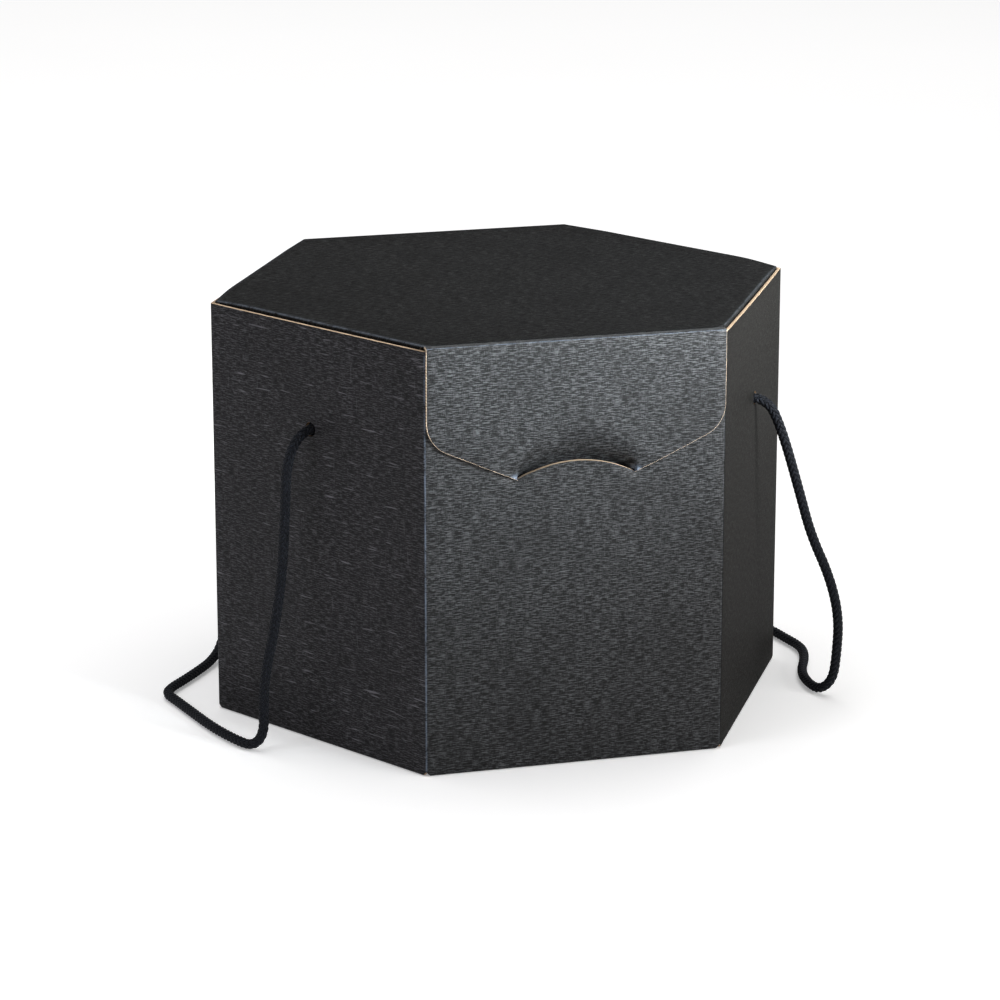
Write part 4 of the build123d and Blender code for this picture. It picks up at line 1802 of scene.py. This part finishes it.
@dataclass
class Studio:
    """Plain pale floor, soft lights and the camera."""

    lamps: tuple[Lamp, ...] = (
        Lamp("overhead_softbox", (0.1, 0.9, 4.0), (0.0, 0.9, 0.0), (5.0, 5.0), 165.0, (1.0, 0.99, 0.98)),
        Lamp(
            "top_front_softbox", (0.42, -0.48, 0.36), (0.14, -0.11, 0.28), (0.4, 0.08), 1.9, (0.92, 0.975, 1.0), 42.0
        ),
        Lamp("room_softbox", (0.62, -0.75, 0.25), (0.07, 0.0, 0.06), (0.5, 0.3), 5.2, (1.0, 0.985, 0.975)),
        Lamp("left_softbox", (-1.9, -0.6, 0.9), (0.0, 0.0, 0.1), (1.0, 1.2), 9.0, (0.92, 0.92, 1.0)),
    )

    location: tuple[float, float, float] = (-0.43732, -1.52792, 0.53009)
    aim: tuple[float, float, float] = (-0.0011, -0.0014, 0.0842)
    lens: float = 135.62

    def camera(self) -> None:
        """Sets up the camera."""
        data = bpy.data.cameras.new("camera")
        data.lens = self.lens
        data.sensor_width = 36.0
        data.clip_start, data.clip_end = 0.05, 50.0
        camera = bpy.data.objects.new("camera", data)
        camera.location = self.location
        camera.rotation_euler = towards(self.location, self.aim)
        bpy.context.scene.collection.objects.link(camera)
        bpy.context.scene.camera = camera

    def hang(self, lamp: Lamp) -> None:
        """Hangs one soft box where the camera doesn't see it.

        Args:
            lamp: what it is and where it goes.
        """
        data = bpy.data.lights.new(lamp.name, "AREA")
        data.shape = "RECTANGLE"
        data.size, data.size_y = lamp.size
        data.energy = lamp.power
        data.color = lamp.colour
        data.spread = math.radians(lamp.spread)
        box = bpy.data.objects.new(lamp.name, data)
        box.location = lamp.location
        box.rotation_euler = towards(lamp.location, lamp.aim)
        box.visible_camera = False
        bpy.context.scene.collection.objects.link(box)

    def lights(self) -> None:
        """Hangs the lights and sets the surroundings."""
        for lamp in self.lamps:
            self.hang(lamp)
        world = bpy.data.worlds.new("surroundings")
        world.use_nodes = True
        bpy.context.scene.world = world
        desk = Desk(world.node_tree)
        world.node_tree.nodes.clear()
        seen = desk.add("ShaderNodeBackground", {"Color": (1.0, 1.0, 1.0, 1.0), "Strength": 1.0})
        soft = desk.add("ShaderNodeBackground", {"Color": (0.93, 0.96, 1.0, 1.0), "Strength": 0.10})
        path = desk.add("ShaderNodeLightPath")
        mix = desk.add("ShaderNodeMixShader", {0: path.outputs["Is Camera Ray"]})
        world.node_tree.links.new(soft.outputs[0], mix.inputs[1])
        world.node_tree.links.new(seen.outputs[0], mix.inputs[2])
        output = desk.add("ShaderNodeOutputWorld")
        world.node_tree.links.new(mix.outputs[0], output.inputs[0])
        bpy.context.scene.view_settings.view_transform = "Standard"

    def floor(self) -> None:
        """Lays the floor."""
        clear_bench()
        bpy.ops.mesh.primitive_plane_add(size=12.0, location=(0.0, 0.0, -0.0002))
        sheet = bpy.context.active_object
        sheet.name = "floor"
        material = bpy.data.materials.new("pale_floor")
        material.use_nodes = True
        desk = Desk(material.node_tree)
        shader = material.node_tree.nodes["Principled BSDF"]
        place_ = desk.add("ShaderNodeTexCoord").outputs["Object"]
        mottle = desk.noise(place_, 2.0, 0.5, 3.0)
        colour = desk.mixed(mottle, (0.93, 0.93, 0.93, 1.0), (0.96, 0.96, 0.96, 1.0))
        material.node_tree.links.new(colour, shader.inputs["Base Color"])
        shader.inputs["Roughness"].default_value = 0.9
        shader.inputs["Specular IOR Level"].default_value = 0.1
        glow = desk.add("ShaderNodeEmission", {"Strength": 0.27})
        seen = desk.add("ShaderNodeMixShader", {0: desk.add("ShaderNodeLightPath").outputs["Is Camera Ray"]})
        both = desk.add("ShaderNodeAddShader", {0: shader.outputs[0], 1: glow.outputs[0]})
        material.node_tree.links.new(shader.outputs[0], seen.inputs[1])
        material.node_tree.links.new(both.outputs[0], seen.inputs[2])
        material.node_tree.links.new(seen.outputs[0], material.node_tree.nodes["Material Output"].inputs[0])
        sheet.data.materials.append(material)

    def build(self) -> None:
        """Sets up the whole studio."""
        self.camera()
        self.lights()
        self.floor()


def main() -> None:
    """Builds the whole visual model and reports each piece."""
    logging.basicConfig(level=logging.INFO, format="%(name)s: %(message)s")
    Studio().build()
    groups = {
        "linen_emboss": linen_emboss_group(),
        "crease_wear_and_highlight": crease_wear_and_highlight_group(),
        "paper_fibre": paper_fibre_group(),
    }
    # brighter cream and brown paint light onto the front flap's cut edges; the bluish grey is the scuff colour of
    # the left walls
    lit_cream, lit_brown, rub_and_highlight = (0.95, 0.76, 0.56), (0.60, 0.42, 0.28), (0.20, 0.25, 0.33)
    kraft = KraftLiner("kraft_liner", roughness=0.85, specular=0.25).build(groups)
    cut = CutEdge("cut_edge", roughness=0.8, specular=0.2).build(groups)
    flutes = CutEdge("cut_edge_flute_ends", roughness=0.85, specular=0.2, flute_ends=True).build(groups)
    # the front flap's cut edges take the brighter cream as painted light, for edges that face away from the lamps
    lit_flap_cut, lit_flap_flutes = (
        CutEdge(
            name, roughness=0.8, specular=0.3, cream=lit_cream, brown=lit_brown, flute_ends=ends
        ).build(groups)
        for name, ends in (("cut_edge_flap_painted_light", False), ("cut_edge_flap_flutes_painted_light", True))
    )
    linen = LinenPaper("black_linen_paper", roughness=0.5, specular=0.3, wear_and_highlight=(0.27, 0.34, 0.45)).build(groups)
    # copies of the black linen paper tuned per face as painted shade: a little darker for the left walls, much
    # darker, warmer and less shiny for the right walls that the lamps light, darker and duller for the lid, whose
    # stronger scuff setting also brightens the painted highlights on its side folds
    shaded_left_linen = LinenPaper(
        "black_linen_paper_left_painted_shade", roughness=0.52, specular=0.28, slubs=1.0,
        dark=(0.0026, 0.0024, 0.0029), thread=(0.063, 0.0605, 0.067), wear_and_highlight=rub_and_highlight,
    ).build(groups)
    shaded_right_linen = LinenPaper(
        "black_linen_paper_right_painted_shade", roughness=0.55, specular=0.08, ior=1.2, emboss=0.14 * MM, across=1.6, slubs=0.2,
        dark=(0.0062, 0.0058, 0.0052), thread=(0.0150, 0.0143, 0.0132),
    ).build(groups)
    shaded_lid_linen = LinenPaper(
        "black_linen_paper_lid_painted_shade", roughness=0.75, specular=0.06, ior=1.1, emboss=0.08 * MM, slubs=0.25,
        wear_and_highlight_amount=0.9, sheen=0.0, dark=(0.0085, 0.0084, 0.0083), thread=(0.0300, 0.0298, 0.0294),
    ).build(groups)
    sizes = BoxSizes()
    slit = Slit()
    papers = [linen, kraft, cut, flutes]
    shaded_lid_papers = [shaded_lid_linen, kraft, cut, flutes]
    walls = Walls(sizes, slit, papers, [shaded_left_linen, kraft, cut, flutes], [shaded_right_linen, kraft, cut, flutes])
    yarn = BraidYarn("braid_yarn", roughness=0.7, specular=0.2).build(groups)
    assemblies = (
        Handles(sizes, walls, Braid(yarn)),
        walls,
        Lid(sizes, slit, shaded_lid_papers, [linen, kraft, lit_flap_cut, lit_flap_flutes], walls),
        SnapLockBase(sizes, walls, papers),
    )
    for assembly in assemblies:
        for piece in assembly.build():
            log.info("%s: %d faces, %s", piece.name, len(piece.data.polygons), type(assembly).__name__)


if __name__ == "__main__":
    main()
